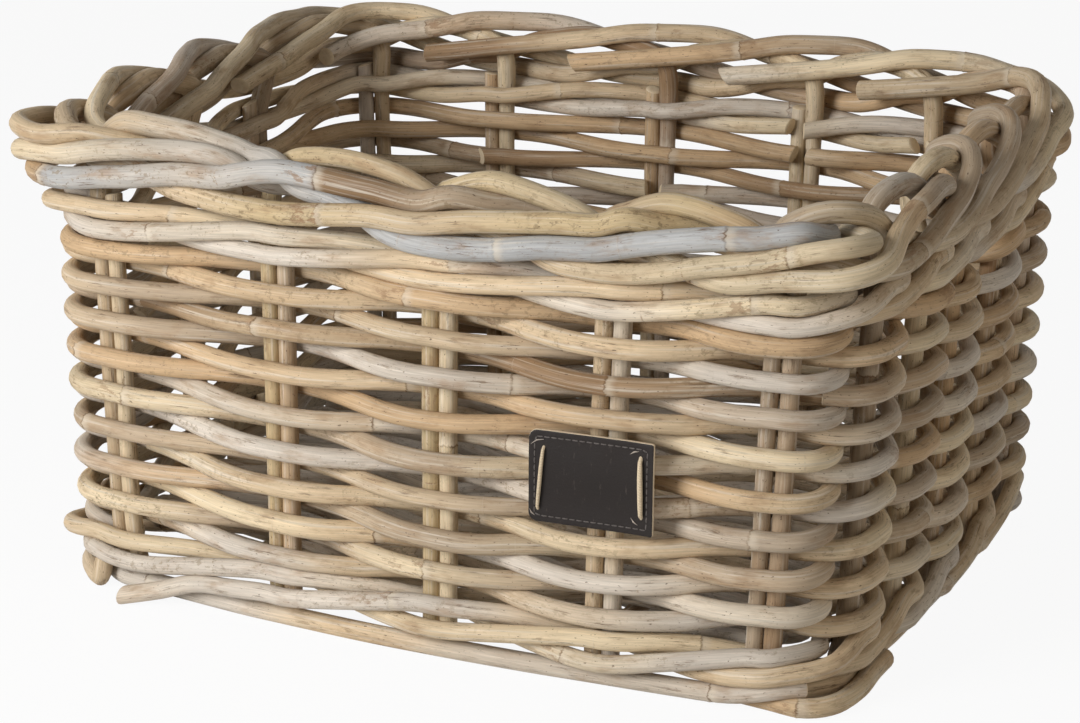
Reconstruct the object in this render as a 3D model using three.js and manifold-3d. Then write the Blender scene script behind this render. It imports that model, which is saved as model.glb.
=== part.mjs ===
// Bicycle basket of thick rattan rods, in millimetres. +Z is up and the floor is z = 0.
// X runs along the long front wall, which faces -Y. The origin is on the floor under the middle.
// Every rod is its own solid: stakes, by-stakes, weavers, wale rods, foot rod and base rods.
import * as THREE from "three";
import Module from "manifold-3d";

const wasm = await Module();
wasm.setup();

// Gap kept between pieces that touch on the real basket
const CLEARANCE = 0.3;

// Walls: half sizes to the middle of the stakes, at the floor and where the border starts
const HALF_LENGTH_FLOOR = 203;
const HALF_LENGTH_TOP = 211;
const HALF_WIDTH_FLOOR = 164;
const HALF_WIDTH_TOP = 165;
const CORNER_RADIUS = 29;

// The walls bulge a little: the angle that half of a long wall and half of an end wall turn through
const LONG_WALL_TURN = 0.155;
const END_WALL_TURN = 0.079;

// Rods
const STAKE_RADIUS = 4.05;
const THICK_STAKE_RADIUS = 5.1;
const BY_STAKE_RADIUS = 3.95;
const WEAVER_RADIUS = 4.35;
const WALE_RADIUS = 4.15;
const BORDER_RADIUS = 4.25;
const FOOT_ROD_FLAT_HEIGHT = 9.4;
const BASE_STICK_RADIUS = 4.25;
const BASE_WEAVER_RADIUS = 4.05;
const ROD_SIDES = 6;
const SHARP_BEND = 0.5;
const CORNER_STEP = 0.3;

// Rows, counted from the top: row 1 is just under the upper wale
const ROW_PITCH = 9.3;
const ROW_COUNT = 16;
const HAND_HOLE_ROWS = 2;
const WALE_RODS = 3;
const WALE_HALF_HEIGHT = 4.95;

// Border, by the height of its top strand's middle over the upper wale's middle
const BORDER_RISE = 46;
const CORNER_SWING = 12;
const BY_STAKE_OVER_WALE = 9.5;
const STAKE_OVER_WALL = 3;

// Base panel
const BASE_STICK_SPACING = 98;
const BASE_PASSES = 25;
const BASE_EDGE_GAP = 3;

// Leather tag on the front wall, and the cord that holds it
const TAG_WIDTH = 60.5;
const TAG_HEIGHT = 44.5;
const TAG_THICKNESS = 2;
const TAG_CORNER_RADIUS = 3;
const TAG_MIDDLE_Z = 105;
const TAG_PAST_STAKES = -3;
const TAG_CORD_RADIUS = 1;
const TAG_HOLE_RADIUS = 1.6;
const TAG_CORD_SPACING = 48;
const TAG_CORD_HEIGHT = 32.5;

// Stakes by how far round the outline they stand, as a part of a lap from the front's middle.
// Stakes are numbered from 0 in that order. Single stakes are thick and have no by-stake.
const FRONT_STAKES = [-0.1247, -0.0514, 0.012, 0.074, 0.1314];
const RIGHT_STAKES = [0.1709, 0.2112, 0.2471, 0.2952];
const BACK_STAKES = [0.3444, 0.3949, 0.4486, 0.5115, 0.5813, 0.636];
const LEFT_STAKES = [0.711, 0.7652, 0.8223];
const SINGLE_STAKES = [5, 6, 7, 10, 17];

// Heights that follow from the rows
const FOOT_ROD_Z = FOOT_ROD_FLAT_HEIGHT / 2;
const STAKE_FOOT_Z = FOOT_ROD_FLAT_HEIGHT + CLEARANCE;
const LOWER_WALE_Z = STAKE_FOOT_Z + WALE_HALF_HEIGHT + ROW_PITCH - 1;
const LAST_ROW_Z = LOWER_WALE_Z + WALE_HALF_HEIGHT + ROW_PITCH + 1;
const FIRST_ROW_Z = LAST_ROW_Z + (ROW_COUNT - 1) * ROW_PITCH;
const UPPER_WALE_Z = FIRST_ROW_Z + ROW_PITCH + WALE_HALF_HEIGHT + 1;
const WALL_TOP_Z = UPPER_WALE_Z + WALE_HALF_HEIGHT;
const RIM_Z = UPPER_WALE_Z + BORDER_RISE;
const BASE_Z = LOWER_WALE_Z;

// Distances of the strands from the middle of the stakes
const WEAVER_OFFSET = STAKE_RADIUS + WEAVER_RADIUS + CLEARANCE;
const PAIR_HALF_SPACING = STAKE_RADIUS + CLEARANCE;

const material = (color, roughness) => new THREE.MeshStandardMaterial({ color, roughness, metalness: 0 });
const GREY_RATTAN = material(0xc0b19c, 0.7);
const TAN_RATTAN = material(0xb79a70, 0.65);
const BROWN_RATTAN = material(0xa0835c, 0.7);
const LEATHER = material(0x3c3734, 0.6);
const CORD = material(0xdcc49c, 0.85);

const basket = new THREE.Group();

function addPiece(name, geometry, pieceMaterial) {
  const mesh = new THREE.Mesh(geometry, pieceMaterial);
  mesh.name = name;
  basket.add(mesh);
}

// The wall's outline at its top: four bulging sides and four tighter corners, all of them arcs that
// run on into each other, gone round counterclockwise from the middle of the front. Lengths along it
// are in millimetres. The arcs' radii come from the half sizes and from the turns of the sides.
const TURN_SUM =
  Math.sin(LONG_WALL_TURN) * Math.sin(END_WALL_TURN) -
  (1 - Math.cos(LONG_WALL_TURN)) * (1 - Math.cos(END_WALL_TURN));
const LONG_WALL_RADIUS =
  CORNER_RADIUS +
  ((HALF_LENGTH_TOP - CORNER_RADIUS) * Math.sin(END_WALL_TURN) -
    (HALF_WIDTH_TOP - CORNER_RADIUS) * (1 - Math.cos(END_WALL_TURN))) /
    TURN_SUM;
const END_WALL_RADIUS =
  CORNER_RADIUS +
  ((HALF_WIDTH_TOP - CORNER_RADIUS) * Math.sin(LONG_WALL_TURN) -
    (HALF_LENGTH_TOP - CORNER_RADIUS) * (1 - Math.cos(LONG_WALL_TURN))) /
    TURN_SUM;
const CORNER_X = (LONG_WALL_RADIUS - CORNER_RADIUS) * Math.sin(LONG_WALL_TURN);
const CORNER_Y = (END_WALL_RADIUS - CORNER_RADIUS) * Math.sin(END_WALL_TURN);
const LONG_WALL_Y = HALF_WIDTH_TOP - LONG_WALL_RADIUS;
const END_WALL_X = HALF_LENGTH_TOP - END_WALL_RADIUS;
const QUARTER = Math.PI / 2;
const OUTLINE_ARCS = [
  { from: 0, to: LONG_WALL_TURN, x: 0, y: -LONG_WALL_Y, radius: LONG_WALL_RADIUS },
  { to: QUARTER - END_WALL_TURN, x: CORNER_X, y: -CORNER_Y, radius: CORNER_RADIUS },
  { to: QUARTER + END_WALL_TURN, x: END_WALL_X, y: 0, radius: END_WALL_RADIUS },
  { to: 2 * QUARTER - LONG_WALL_TURN, x: CORNER_X, y: CORNER_Y, radius: CORNER_RADIUS },
  { to: 2 * QUARTER + LONG_WALL_TURN, x: 0, y: LONG_WALL_Y, radius: LONG_WALL_RADIUS },
  { to: 3 * QUARTER - END_WALL_TURN, x: -CORNER_X, y: CORNER_Y, radius: CORNER_RADIUS },
  { to: 3 * QUARTER + END_WALL_TURN, x: -END_WALL_X, y: 0, radius: END_WALL_RADIUS },
  { to: 4 * QUARTER - LONG_WALL_TURN, x: -CORNER_X, y: -CORNER_Y, radius: CORNER_RADIUS },
  { to: 4 * QUARTER, x: 0, y: -LONG_WALL_Y, radius: LONG_WALL_RADIUS },
].map((arc, i, all) => ({ ...arc, from: i ? all[i - 1].to : 0 }));
const PERIMETER = OUTLINE_ARCS.reduce((sum, arc) => sum + (arc.to - arc.from) * arc.radius, 0);

function outline(distance) {
  let left = ((distance % PERIMETER) + PERIMETER) % PERIMETER;
  for (const { from, to, x, y, radius } of OUTLINE_ARCS) {
    const length = (to - from) * radius;
    if (left <= length) {
      const turn = from + left / radius - QUARTER;
      const [nx, ny] = [Math.cos(turn), Math.sin(turn)];
      return { x: x + radius * nx, y: y + radius * ny, nx, ny };
    }
    left -= length;
  }
  return outline(0);
}

const STAKE_DISTANCES = [...FRONT_STAKES, ...RIGHT_STAKES, ...BACK_STAKES, ...LEFT_STAKES].map(
  (part) => part * PERIMETER,
);
const COLUMNS = STAKE_DISTANCES.length;
const RIGHT_HOLE_COLUMN = FRONT_STAKES.length + RIGHT_STAKES.length - 2;
const LEFT_HOLE_COLUMN = COLUMNS - LEFT_STAKES.length;

const isSingle = (column) => SINGLE_STAKES.includes(((column % COLUMNS) + COLUMNS) % COLUMNS);

const standRadius = (column) => (isSingle(column) ? THICK_STAKE_RADIUS : STAKE_RADIUS);

// How far out a rod's middle lies where it passes a column's stakes
const passOffset = (column, radius) => standRadius(column) + radius + CLEARANCE;

// A stake's distance round the outline, for any whole column number or a part of one
function distanceAt(column) {
  const whole = Math.floor(column);
  const lap = (k) => Math.floor(k / COLUMNS) * PERIMETER;
  const at = (k) => STAKE_DISTANCES[((k % COLUMNS) + COLUMNS) % COLUMNS] + lap(k);
  return at(whole) + (column - whole) * (at(whole + 1) - at(whole));
}

// A point on the wall: along it from a column, out from the middle of the stakes, at a height
function wallPoint(column, along, out, z) {
  const { x, y, nx, ny } = outline(distanceAt(column));
  const height = Math.min(z, WALL_TOP_Z) / WALL_TOP_Z;
  const halfLength = HALF_LENGTH_FLOOR + (HALF_LENGTH_TOP - HALF_LENGTH_FLOOR) * height;
  const halfWidth = HALF_WIDTH_FLOOR + (HALF_WIDTH_TOP - HALF_WIDTH_FLOOR) * height;
  return new THREE.Vector3(
    (x * halfLength) / HALF_LENGTH_TOP - ny * along + nx * out,
    (y * halfWidth) / HALF_WIDTH_TOP + nx * along + ny * out,
    z,
  );
}

// A closed rod along a list of points. Its corners stay to the sides and its flats up and down
// where it lies level.
function rodGeometry(points, radius, sides = ROD_SIDES) {
  const radii = Array.isArray(radius) ? radius : points.map(() => radius);
  const positions = [];
  const indices = [];
  let up = new THREE.Vector3(0, 0, 1);
  const first = points[1].clone().sub(points[0]).normalize();
  if (Math.abs(first.z) > 0.9) {
    up = new THREE.Vector3(points[0].x, points[0].y, 0).normalize();
  }
  points.forEach((point, i) => {
    const before = points[Math.max(i - 1, 0)];
    const after = points[Math.min(i + 1, points.length - 1)];
    const into = point.clone().sub(before).normalize();
    const outOf = after.clone().sub(point).normalize();
    const tangent = into.add(outOf).normalize();
    const side = tangent.clone().cross(up).normalize();
    up = side.clone().cross(tangent).normalize();
    for (let j = 0; j < sides; j++) {
      const angle = (2 * Math.PI * j) / sides;
      const corner = point
        .clone()
        .addScaledVector(side, radii[i] * Math.cos(angle))
        .addScaledVector(up, radii[i] * Math.sin(angle));
      positions.push(corner.x, corner.y, corner.z);
    }
  });
  const lastRing = (points.length - 1) * sides;
  for (let ring = 0; ring < lastRing; ring += sides) {
    for (let j = 0; j < sides; j++) {
      const next = (j + 1) % sides;
      indices.push(ring + j, ring + sides + j, ring + sides + next);
      indices.push(ring + j, ring + sides + next, ring + next);
    }
  }
  for (let j = 1; j < sides - 1; j++) {
    indices.push(0, j, j + 1);
    indices.push(lastRing, lastRing + j + 1, lastRing + j);
  }
  const geometry = new THREE.BufferGeometry();
  geometry.setAttribute("position", new THREE.Float32BufferAttribute(positions, 3));
  geometry.setIndex(indices);
  return geometry;
}

// The border: how a stake bends down after it leaves the wall. Each step is a place in bays past
// its own column, then the distance out from the stakes and the height over the rim's top strand,
// both in radii of the rod.
const BORDER_STEPS = [
  [0, -1.69, -3.2],
  [0.06, -1.51, -1.33],
  [0.2, -0.76, 0],
  [0.5, 0, 0],
  [0.8, 0.53, -1.2],
  [1, 0.67, -2.8],
  [1.2, 0.67, -5.2],
  [1.5, 0.44, -6],
  [1.8, 1.38, -7.07],
  [2, 1.87, -7.33],
  [2.5, 2.71, -6.27],
  [2.75, 2.84, -5.2],
  [3, 2.84, -4.59],
  [3.5, 2.89, -3.55],
  [3.75, 2.89, -2.61],
  [4, 2.87, -2.05],
  [4.1, 2.22, -1.81],
  [4.25, 0.56, -2.27],
  [4.42, -1.44, -2.67],
  [4.6, -2.62, -3.87],
  [4.85, -3.38, -5.33],
  [5, -3.44, -6.13],
  [5.35, -3.33, -7.47],
];

// Strands on the border's outer face swing wide of the corners by up to this, and inner ones don't
const outerPart = (out) => Math.max(0, Math.min(1, out / (2.5 * BORDER_RADIUS)));

function borderPoint(column, bays, along, out, over) {
  const { nx, ny } = outline(distanceAt(column + bays));
  const swing = CORNER_SWING * (2 * nx * ny) ** 2 * outerPart(out);
  return wallPoint(column + bays, along, out + swing, RIM_Z + over);
}

// Where a stake of a pair starts, beside the middle of its column, and the bays in which it comes
// back to the border's own line
const PAIR_FADE_BAYS = 0.2;

function stakeAlong(column) {
  return isSingle(column) ? 0 : -PAIR_HALF_SPACING;
}

// A strand's points, with more of them where it goes round a corner
function borderStrand(column) {
  const normalAt = (bays) => {
    const { nx, ny } = outline(distanceAt(column + bays));
    return new THREE.Vector2(nx, ny);
  };
  const steps = BORDER_STEPS.map(([bays, out, over]) => [bays, out * BORDER_RADIUS, over * BORDER_RADIUS]);
  const points = [];
  steps.forEach(([bays, out, over], i) => {
    const fade = Math.max(0, 1 - bays / PAIR_FADE_BAYS);
    points.push(borderPoint(column, bays, stakeAlong(column) * fade, out, over));
    if (i === steps.length - 1) return;
    const [nextBays, nextOut, nextOver] = steps[i + 1];
    const turn = Math.acos(Math.min(1, normalAt(bays).dot(normalAt(nextBays))));
    const pieces = Math.max(1, Math.ceil(turn / CORNER_STEP));
    for (let piece = 1; piece < pieces; piece++) {
      const part = piece / pieces;
      const [at, pieceOut, pieceOver] = [
        bays + (nextBays - bays) * part,
        out + (nextOut - out) * part,
        over + (nextOver - over) * part,
      ];
      points.push(borderPoint(column, at, 0, pieceOut, pieceOver));
    }
  });
  return points;
}

// Stakes: up the wall, then along the border
function addStakes() {
  const walls = {
    front: FRONT_STAKES,
    right: RIGHT_STAKES,
    back: BACK_STAKES,
    left: LEFT_STAKES,
  };
  let column = 0;
  for (const [wall, places] of Object.entries(walls)) {
    for (let number = 1; number <= places.length; number++) {
      const along = stakeAlong(column);
      const upright = [
        wallPoint(column, along, 0, STAKE_FOOT_Z),
        wallPoint(column, along, 0, WALL_TOP_Z + STAKE_OVER_WALL),
      ];
      const strand = borderStrand(column);
      const radii = [...upright.map(() => standRadius(column)), ...strand.map(() => BORDER_RADIUS)];
      const rod = rodGeometry([...upright, ...strand], radii);
      addPiece(`stake_${wall}_${number}`, rod, number % 2 ? TAN_RATTAN : GREY_RATTAN);
      if (!isSingle(column)) {
        const beside = [
          wallPoint(column, PAIR_HALF_SPACING, 0, STAKE_FOOT_Z),
          wallPoint(column, PAIR_HALF_SPACING, 0, UPPER_WALE_Z + BY_STAKE_OVER_WALE),
        ];
        addPiece(`by_stake_${wall}_${number}`, rodGeometry(beside, BY_STAKE_RADIUS), GREY_RATTAN);
      }
      column += 1;
    }
  }
}

// The middle of a stand of stakes' first or last stake, seen from above
function endStake(column, end) {
  return wallPoint(column, isSingle(column) ? 0 : end * PAIR_HALF_SPACING, 0, WALL_TOP_Z);
}

// The angle that a rod turns through at one end of a column's stakes, until it points straight at
// the same or the other side of the next column's stakes
function bendAt(column, end, side, nextSide, radius) {
  const here = endStake(column, end);
  const there = endStake(column + end, -end);
  const { nx, ny } = outline(distanceAt(column));
  const dx = there.x - here.x;
  const dy = there.y - here.y;
  const turnedBy = Math.atan2(-side * (dx * nx + dy * ny), end * (-dx * ny + dy * nx));
  const nextReach = passOffset(column + end, radius);
  const apart = passOffset(column, radius) + (side === nextSide ? -nextReach : nextReach);
  return Math.max(0, turnedBy + Math.asin(apart / Math.hypot(dx, dy)));
}

// A rod's points round one end of the stakes at a column, from beside the end stake outwards
function roundEnd(column, end, side, nextSide, z, radius) {
  const bend = bendAt(column, end, side, nextSide, radius);
  const count = bend > SHARP_BEND ? 2 : 1;
  const from = isSingle(column) ? 0 : PAIR_HALF_SPACING;
  const points = [];
  for (let i = 0; i < count; i++) {
    const angle = (bend * (2 * i + 1)) / (2 * count);
    const reach = passOffset(column, radius) / Math.cos(bend / (2 * count));
    const along = end * (from + reach * Math.sin(angle));
    points.push(wallPoint(column, along, side * reach * Math.cos(angle), z));
  }
  return points;
}

// A rod's points where it passes the stakes of a column on one side, coming from one side of the
// column before and going on to one side of the column after
function crossing(column, side, sideBefore, sideAfter, z, radius = WEAVER_RADIUS) {
  const bendBefore = bendAt(column, -1, side, sideBefore, radius);
  const bendAfter = bendAt(column, 1, side, sideAfter, radius);
  if (isSingle(column) && bendBefore + bendAfter < 2 * SHARP_BEND) {
    const reach = passOffset(column, radius) / Math.cos((bendBefore + bendAfter) / 2);
    const angle = (bendAfter - bendBefore) / 2;
    return [wallPoint(column, reach * Math.sin(angle), side * reach * Math.cos(angle), z)];
  }
  const before = roundEnd(column, -1, side, sideBefore, z, radius).reverse();
  return [...before, ...roundEnd(column, 1, side, sideAfter, z, radius)];
}

// A row's side of the stakes at a column: 1 in front of them, -1 behind
const sideOf = (row, column) => ((((column + row) % 2) + 2) % 2 === 1 ? 1 : -1);
const rowZ = (row) => FIRST_ROW_Z - (row - 1) * ROW_PITCH;

const ROW_START_STEP = 7;
const ROD_END_GAP = 2;

// The points of a rod from behind one pair of stakes to behind another
function rodBetween(start, end, sideAt, heightAt, radius, between = () => []) {
  const points = [
    wallPoint(start, ROD_END_GAP / 2, sideAt(start) * passOffset(start, radius), heightAt(start)),
    ...roundEnd(start, 1, sideAt(start), sideAt(start + 1), heightAt(start), radius),
    ...between(start),
  ];
  for (let column = start + 1; column < end; column++) {
    const sides = [sideAt(column), sideAt(column - 1), sideAt(column + 1)];
    points.push(...crossing(column, ...sides, heightAt(column), radius), ...between(column));
  }
  points.push(
    ...roundEnd(end, -1, sideAt(end), sideAt(end - 1), heightAt(end), radius).reverse(),
    wallPoint(end, -ROD_END_GAP / 2, sideAt(end) * passOffset(end, radius), heightAt(end)),
  );
  return points;
}

function addRows() {
  for (let row = HAND_HOLE_ROWS + 1; row <= ROW_COUNT; row++) {
    let start = (row * ROW_START_STEP) % COLUMNS;
    while (sideOf(row, start) === 1 || isSingle(start)) start += 1;
    const sideAt = (column) => sideOf(row, column);
    const points = rodBetween(start, start + COLUMNS, sideAt, () => rowZ(row), WEAVER_RADIUS);
    addPiece(`weaver_row_${row}`, rodGeometry(points, WEAVER_RADIUS), row % 3 ? TAN_RATTAN : GREY_RATTAN);
  }
}

// Beside a hand hole the weaver turns back round the stakes, from one of its two rows to the other
const TURN_STEPS = [0, 0.12, 0.35, 0.65, 0.88, 1];

function turnBack(column, direction, fromSide, fromZ, toZ) {
  const offset = passOffset(column, WEAVER_RADIUS);
  const straight = isSingle(column) ? 0 : PAIR_HALF_SPACING;
  return TURN_STEPS.map((part) => {
    const angle = Math.PI * part;
    const reach = offset / Math.cos(Math.PI * 0.15);
    const along = straight + Math.sin(angle) * (part === 0 || part === 1 ? 0 : reach);
    const out = fromSide * Math.cos(angle) * (part === 0 || part === 1 ? offset : reach);
    return wallPoint(column, direction * along, out, fromZ + (toZ - fromZ) * part);
  });
}

function addHandHoleWeaver(name, firstColumn, lastColumn) {
  const [upper, lower] = [rowZ(1), rowZ(HAND_HOLE_ROWS)];
  let start = firstColumn + 2;
  while (sideOf(1, start) === 1 || isSingle(start)) start += 1;
  const upperSide = (column) => sideOf(1, column);
  const lowerSide = (column) => sideOf(2, column);
  const pass = (column, sideAt, z) =>
    crossing(column, sideAt(column), sideAt(column - 1), sideAt(column + 1), z);
  const points = [wallPoint(start, ROD_END_GAP / 2, -passOffset(start, WEAVER_RADIUS), upper)];
  points.push(...roundEnd(start, 1, -1, 1, upper, WEAVER_RADIUS));
  for (let column = start + 1; column < lastColumn; column++) {
    points.push(...pass(column, upperSide, upper));
  }
  const endSide = upperSide(lastColumn);
  points.push(...roundEnd(lastColumn, -1, endSide, -endSide, upper, WEAVER_RADIUS).reverse());
  points.push(...turnBack(lastColumn, 1, endSide, upper, lower));
  points.push(...roundEnd(lastColumn, -1, -endSide, endSide, lower, WEAVER_RADIUS));
  for (let column = lastColumn - 1; column > firstColumn; column--) {
    points.push(...pass(column, lowerSide, lower).reverse());
  }
  const firstSide = lowerSide(firstColumn);
  points.push(...roundEnd(firstColumn, 1, firstSide, -firstSide, lower, WEAVER_RADIUS).reverse());
  points.push(...turnBack(firstColumn, -1, firstSide, lower, upper));
  points.push(...roundEnd(firstColumn, 1, -firstSide, firstSide, upper, WEAVER_RADIUS));
  for (let column = firstColumn + 1; column < start; column++) {
    points.push(...pass(column, upperSide, upper));
  }
  points.push(...roundEnd(start, -1, -1, 1, upper, WEAVER_RADIUS).reverse());
  points.push(wallPoint(start, -ROD_END_GAP / 2, -passOffset(start, WEAVER_RADIUS), upper));
  addPiece(name, rodGeometry(points, WEAVER_RADIUS), GREY_RATTAN);
}

// Three-rod wale: each rod goes in front of two columns, high then low, and behind the third.
// Between two columns it has a point of its own, out from the stakes and up or down.
const WALE_PHASES = [
  { side: 1, lift: 1, betweenOut: 2, betweenLift: 0 },
  { side: 1, lift: -1, betweenOut: 0, betweenLift: -1 },
  { side: -1, lift: 0, betweenOut: 0, betweenLift: 1 },
];

// The columns behind which the first rod of a wale starts
const UPPER_WALE_COLUMN = 9;
const LOWER_WALE_COLUMN = 12;

function addWale(name, z, firstStart) {
  for (let rod = 0; rod < WALE_RODS; rod++) {
    const phaseAt = (column) => WALE_PHASES[(((column + rod) % WALE_RODS) + WALE_RODS) % WALE_RODS];
    const between = (column) => {
      const phase = phaseAt(column);
      const middle = wallPoint(column, 0, 0, z).lerp(wallPoint(column + 1, 0, 0, z), 0.5);
      const { nx, ny } = outline(distanceAt(column + 0.5));
      const out = phase.betweenOut ? passOffset(column, WALE_RADIUS) + phase.betweenOut : 0;
      middle.add(new THREE.Vector3(nx * out, ny * out, phase.betweenLift * WALE_HALF_HEIGHT));
      return [middle];
    };
    const start = firstStart + WALE_RODS - 1 - rod;
    const points = rodBetween(
      start,
      start + COLUMNS,
      (column) => phaseAt(column).side,
      (column) => z + phaseAt(column).lift * WALE_HALF_HEIGHT,
      WALE_RADIUS,
      between,
    );
    addPiece(`${name}_${rod + 1}`, rodGeometry(points, WALE_RADIUS), rod % 2 ? GREY_RATTAN : TAN_RATTAN);
  }
}

// Foot: one rod round the basket under the ends of the stakes, flat where it stands on the floor.
// Its ends meet under the back wall.
const FOOT_START_COLUMN = 11;

function addFoot() {
  const radius = FOOT_ROD_FLAT_HEIGHT / 2 / Math.cos(Math.PI / ROD_SIDES);
  const points = [];
  for (let step = 0; step <= 2 * COLUMNS; step++) {
    points.push(wallPoint(FOOT_START_COLUMN + step / 2, 0, 0, FOOT_ROD_Z));
  }
  const last = points.length - 1;
  points[last].lerp(points[last - 1], ROD_END_GAP / points[last].distanceTo(points[last - 1]));
  addPiece("foot_rod", rodGeometry(points, radius), TAN_RATTAN);
}

// Base: three cross sticks and one long rod that goes to and fro over and under them.
// They keep inside the lower wale, whose inner face at the floor is this far in from the stakes.
const BASE_INSET = passOffset(SINGLE_STAKES[0], WALE_RADIUS) + WALE_RADIUS + BASE_EDGE_GAP;

// The place on the front right quarter of the base's edge where a length reaches a value. The length
// along the front grows from the front's middle to the end's middle, the one to the front shrinks.
function baseEdge(isPast) {
  let [near, far] = [0, PERIMETER / 4 + (HALF_LENGTH_TOP - HALF_WIDTH_TOP)];
  for (let i = 0; i < 40; i++) {
    const middle = (near + far) / 2;
    const { x, y, nx, ny } = outline(middle);
    const edge = {
      x: (x * HALF_LENGTH_FLOOR) / HALF_LENGTH_TOP - nx * BASE_INSET,
      y: (y * HALF_WIDTH_FLOOR) / HALF_WIDTH_TOP - ny * BASE_INSET,
    };
    if (isPast(edge)) far = middle;
    else near = middle;
    if (i === 39) return edge;
  }
}

const baseReachX = (y) => baseEdge((edge) => -edge.y < y).x - BASE_WEAVER_RADIUS;
const baseReachY = (x) => -baseEdge((edge) => edge.x > x).y;

function addBase() {
  const sticksX = [-BASE_STICK_SPACING, 0, BASE_STICK_SPACING];
  sticksX.forEach((x, i) => {
    const reach = baseReachY(Math.abs(x) + BASE_STICK_RADIUS);
    const stick = [new THREE.Vector3(x, -reach, BASE_Z), new THREE.Vector3(x, reach, BASE_Z)];
    addPiece(`base_stick_${i + 1}`, rodGeometry(stick, BASE_STICK_RADIUS), BROWN_RATTAN);
  });
  const rise = BASE_STICK_RADIUS + BASE_WEAVER_RADIUS + CLEARANCE;
  const halfPasses = (BASE_PASSES - 1) / 2;
  const pitch = (baseReachY(BASE_STICK_SPACING) - 2 * BASE_WEAVER_RADIUS) / halfPasses;
  const points = [];
  for (let pass = 0; pass < BASE_PASSES; pass++) {
    const y = (pass - halfPasses) * pitch;
    const direction = pass % 2 ? -1 : 1;
    const end = baseReachX(Math.abs(y) + BASE_WEAVER_RADIUS);
    points.push(new THREE.Vector3(-direction * end, y, BASE_Z));
    sticksX.forEach((unused, i) => {
      const stick = direction === 1 ? i : sticksX.length - 1 - i;
      const over = (stick + pass) % 2 ? 1 : -1;
      points.push(new THREE.Vector3(sticksX[stick], y, BASE_Z + over * rise));
    });
    points.push(new THREE.Vector3(direction * end, y, BASE_Z));
  }
  addPiece("base_weaver", rodGeometry(points, BASE_WEAVER_RADIUS), TAN_RATTAN);
}

// A closed mesh as a solid that can be cut
function solidOf(geometry) {
  const source = geometry.index ? geometry.toNonIndexed() : geometry;
  const found = new Map();
  const vertProperties = [];
  const triVerts = [];
  const array = source.attributes.position.array;
  for (let i = 0; i < array.length; i += 3) {
    const point = [array[i], array[i + 1], array[i + 2]];
    const key = point.map((value) => Math.round(value * 1e4)).join();
    if (!found.has(key)) {
      found.set(key, found.size);
      vertProperties.push(...point);
    }
    triVerts.push(found.get(key));
  }
  return new wasm.Manifold(
    new wasm.Mesh({
      numProp: 3,
      vertProperties: new Float32Array(vertProperties),
      triVerts: new Uint32Array(triVerts),
    }),
  );
}

function geometryOf(solid) {
  const mesh = solid.getMesh();
  const geometry = new THREE.BufferGeometry();
  geometry.setAttribute("position", new THREE.Float32BufferAttribute(mesh.vertProperties, 3));
  geometry.setIndex(new THREE.Uint32BufferAttribute(mesh.triVerts, 1));
  return geometry;
}

// Tag: a leather plate with round corners and four holes, tied on by a cord in two upright stitches
const TAG_COLUMN = 3;
const TAG_BACK_OUT = WEAVER_OFFSET + WEAVER_RADIUS + CLEARANCE;
const TAG_FRONT_OUT = TAG_BACK_OUT + TAG_THICKNESS;

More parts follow.
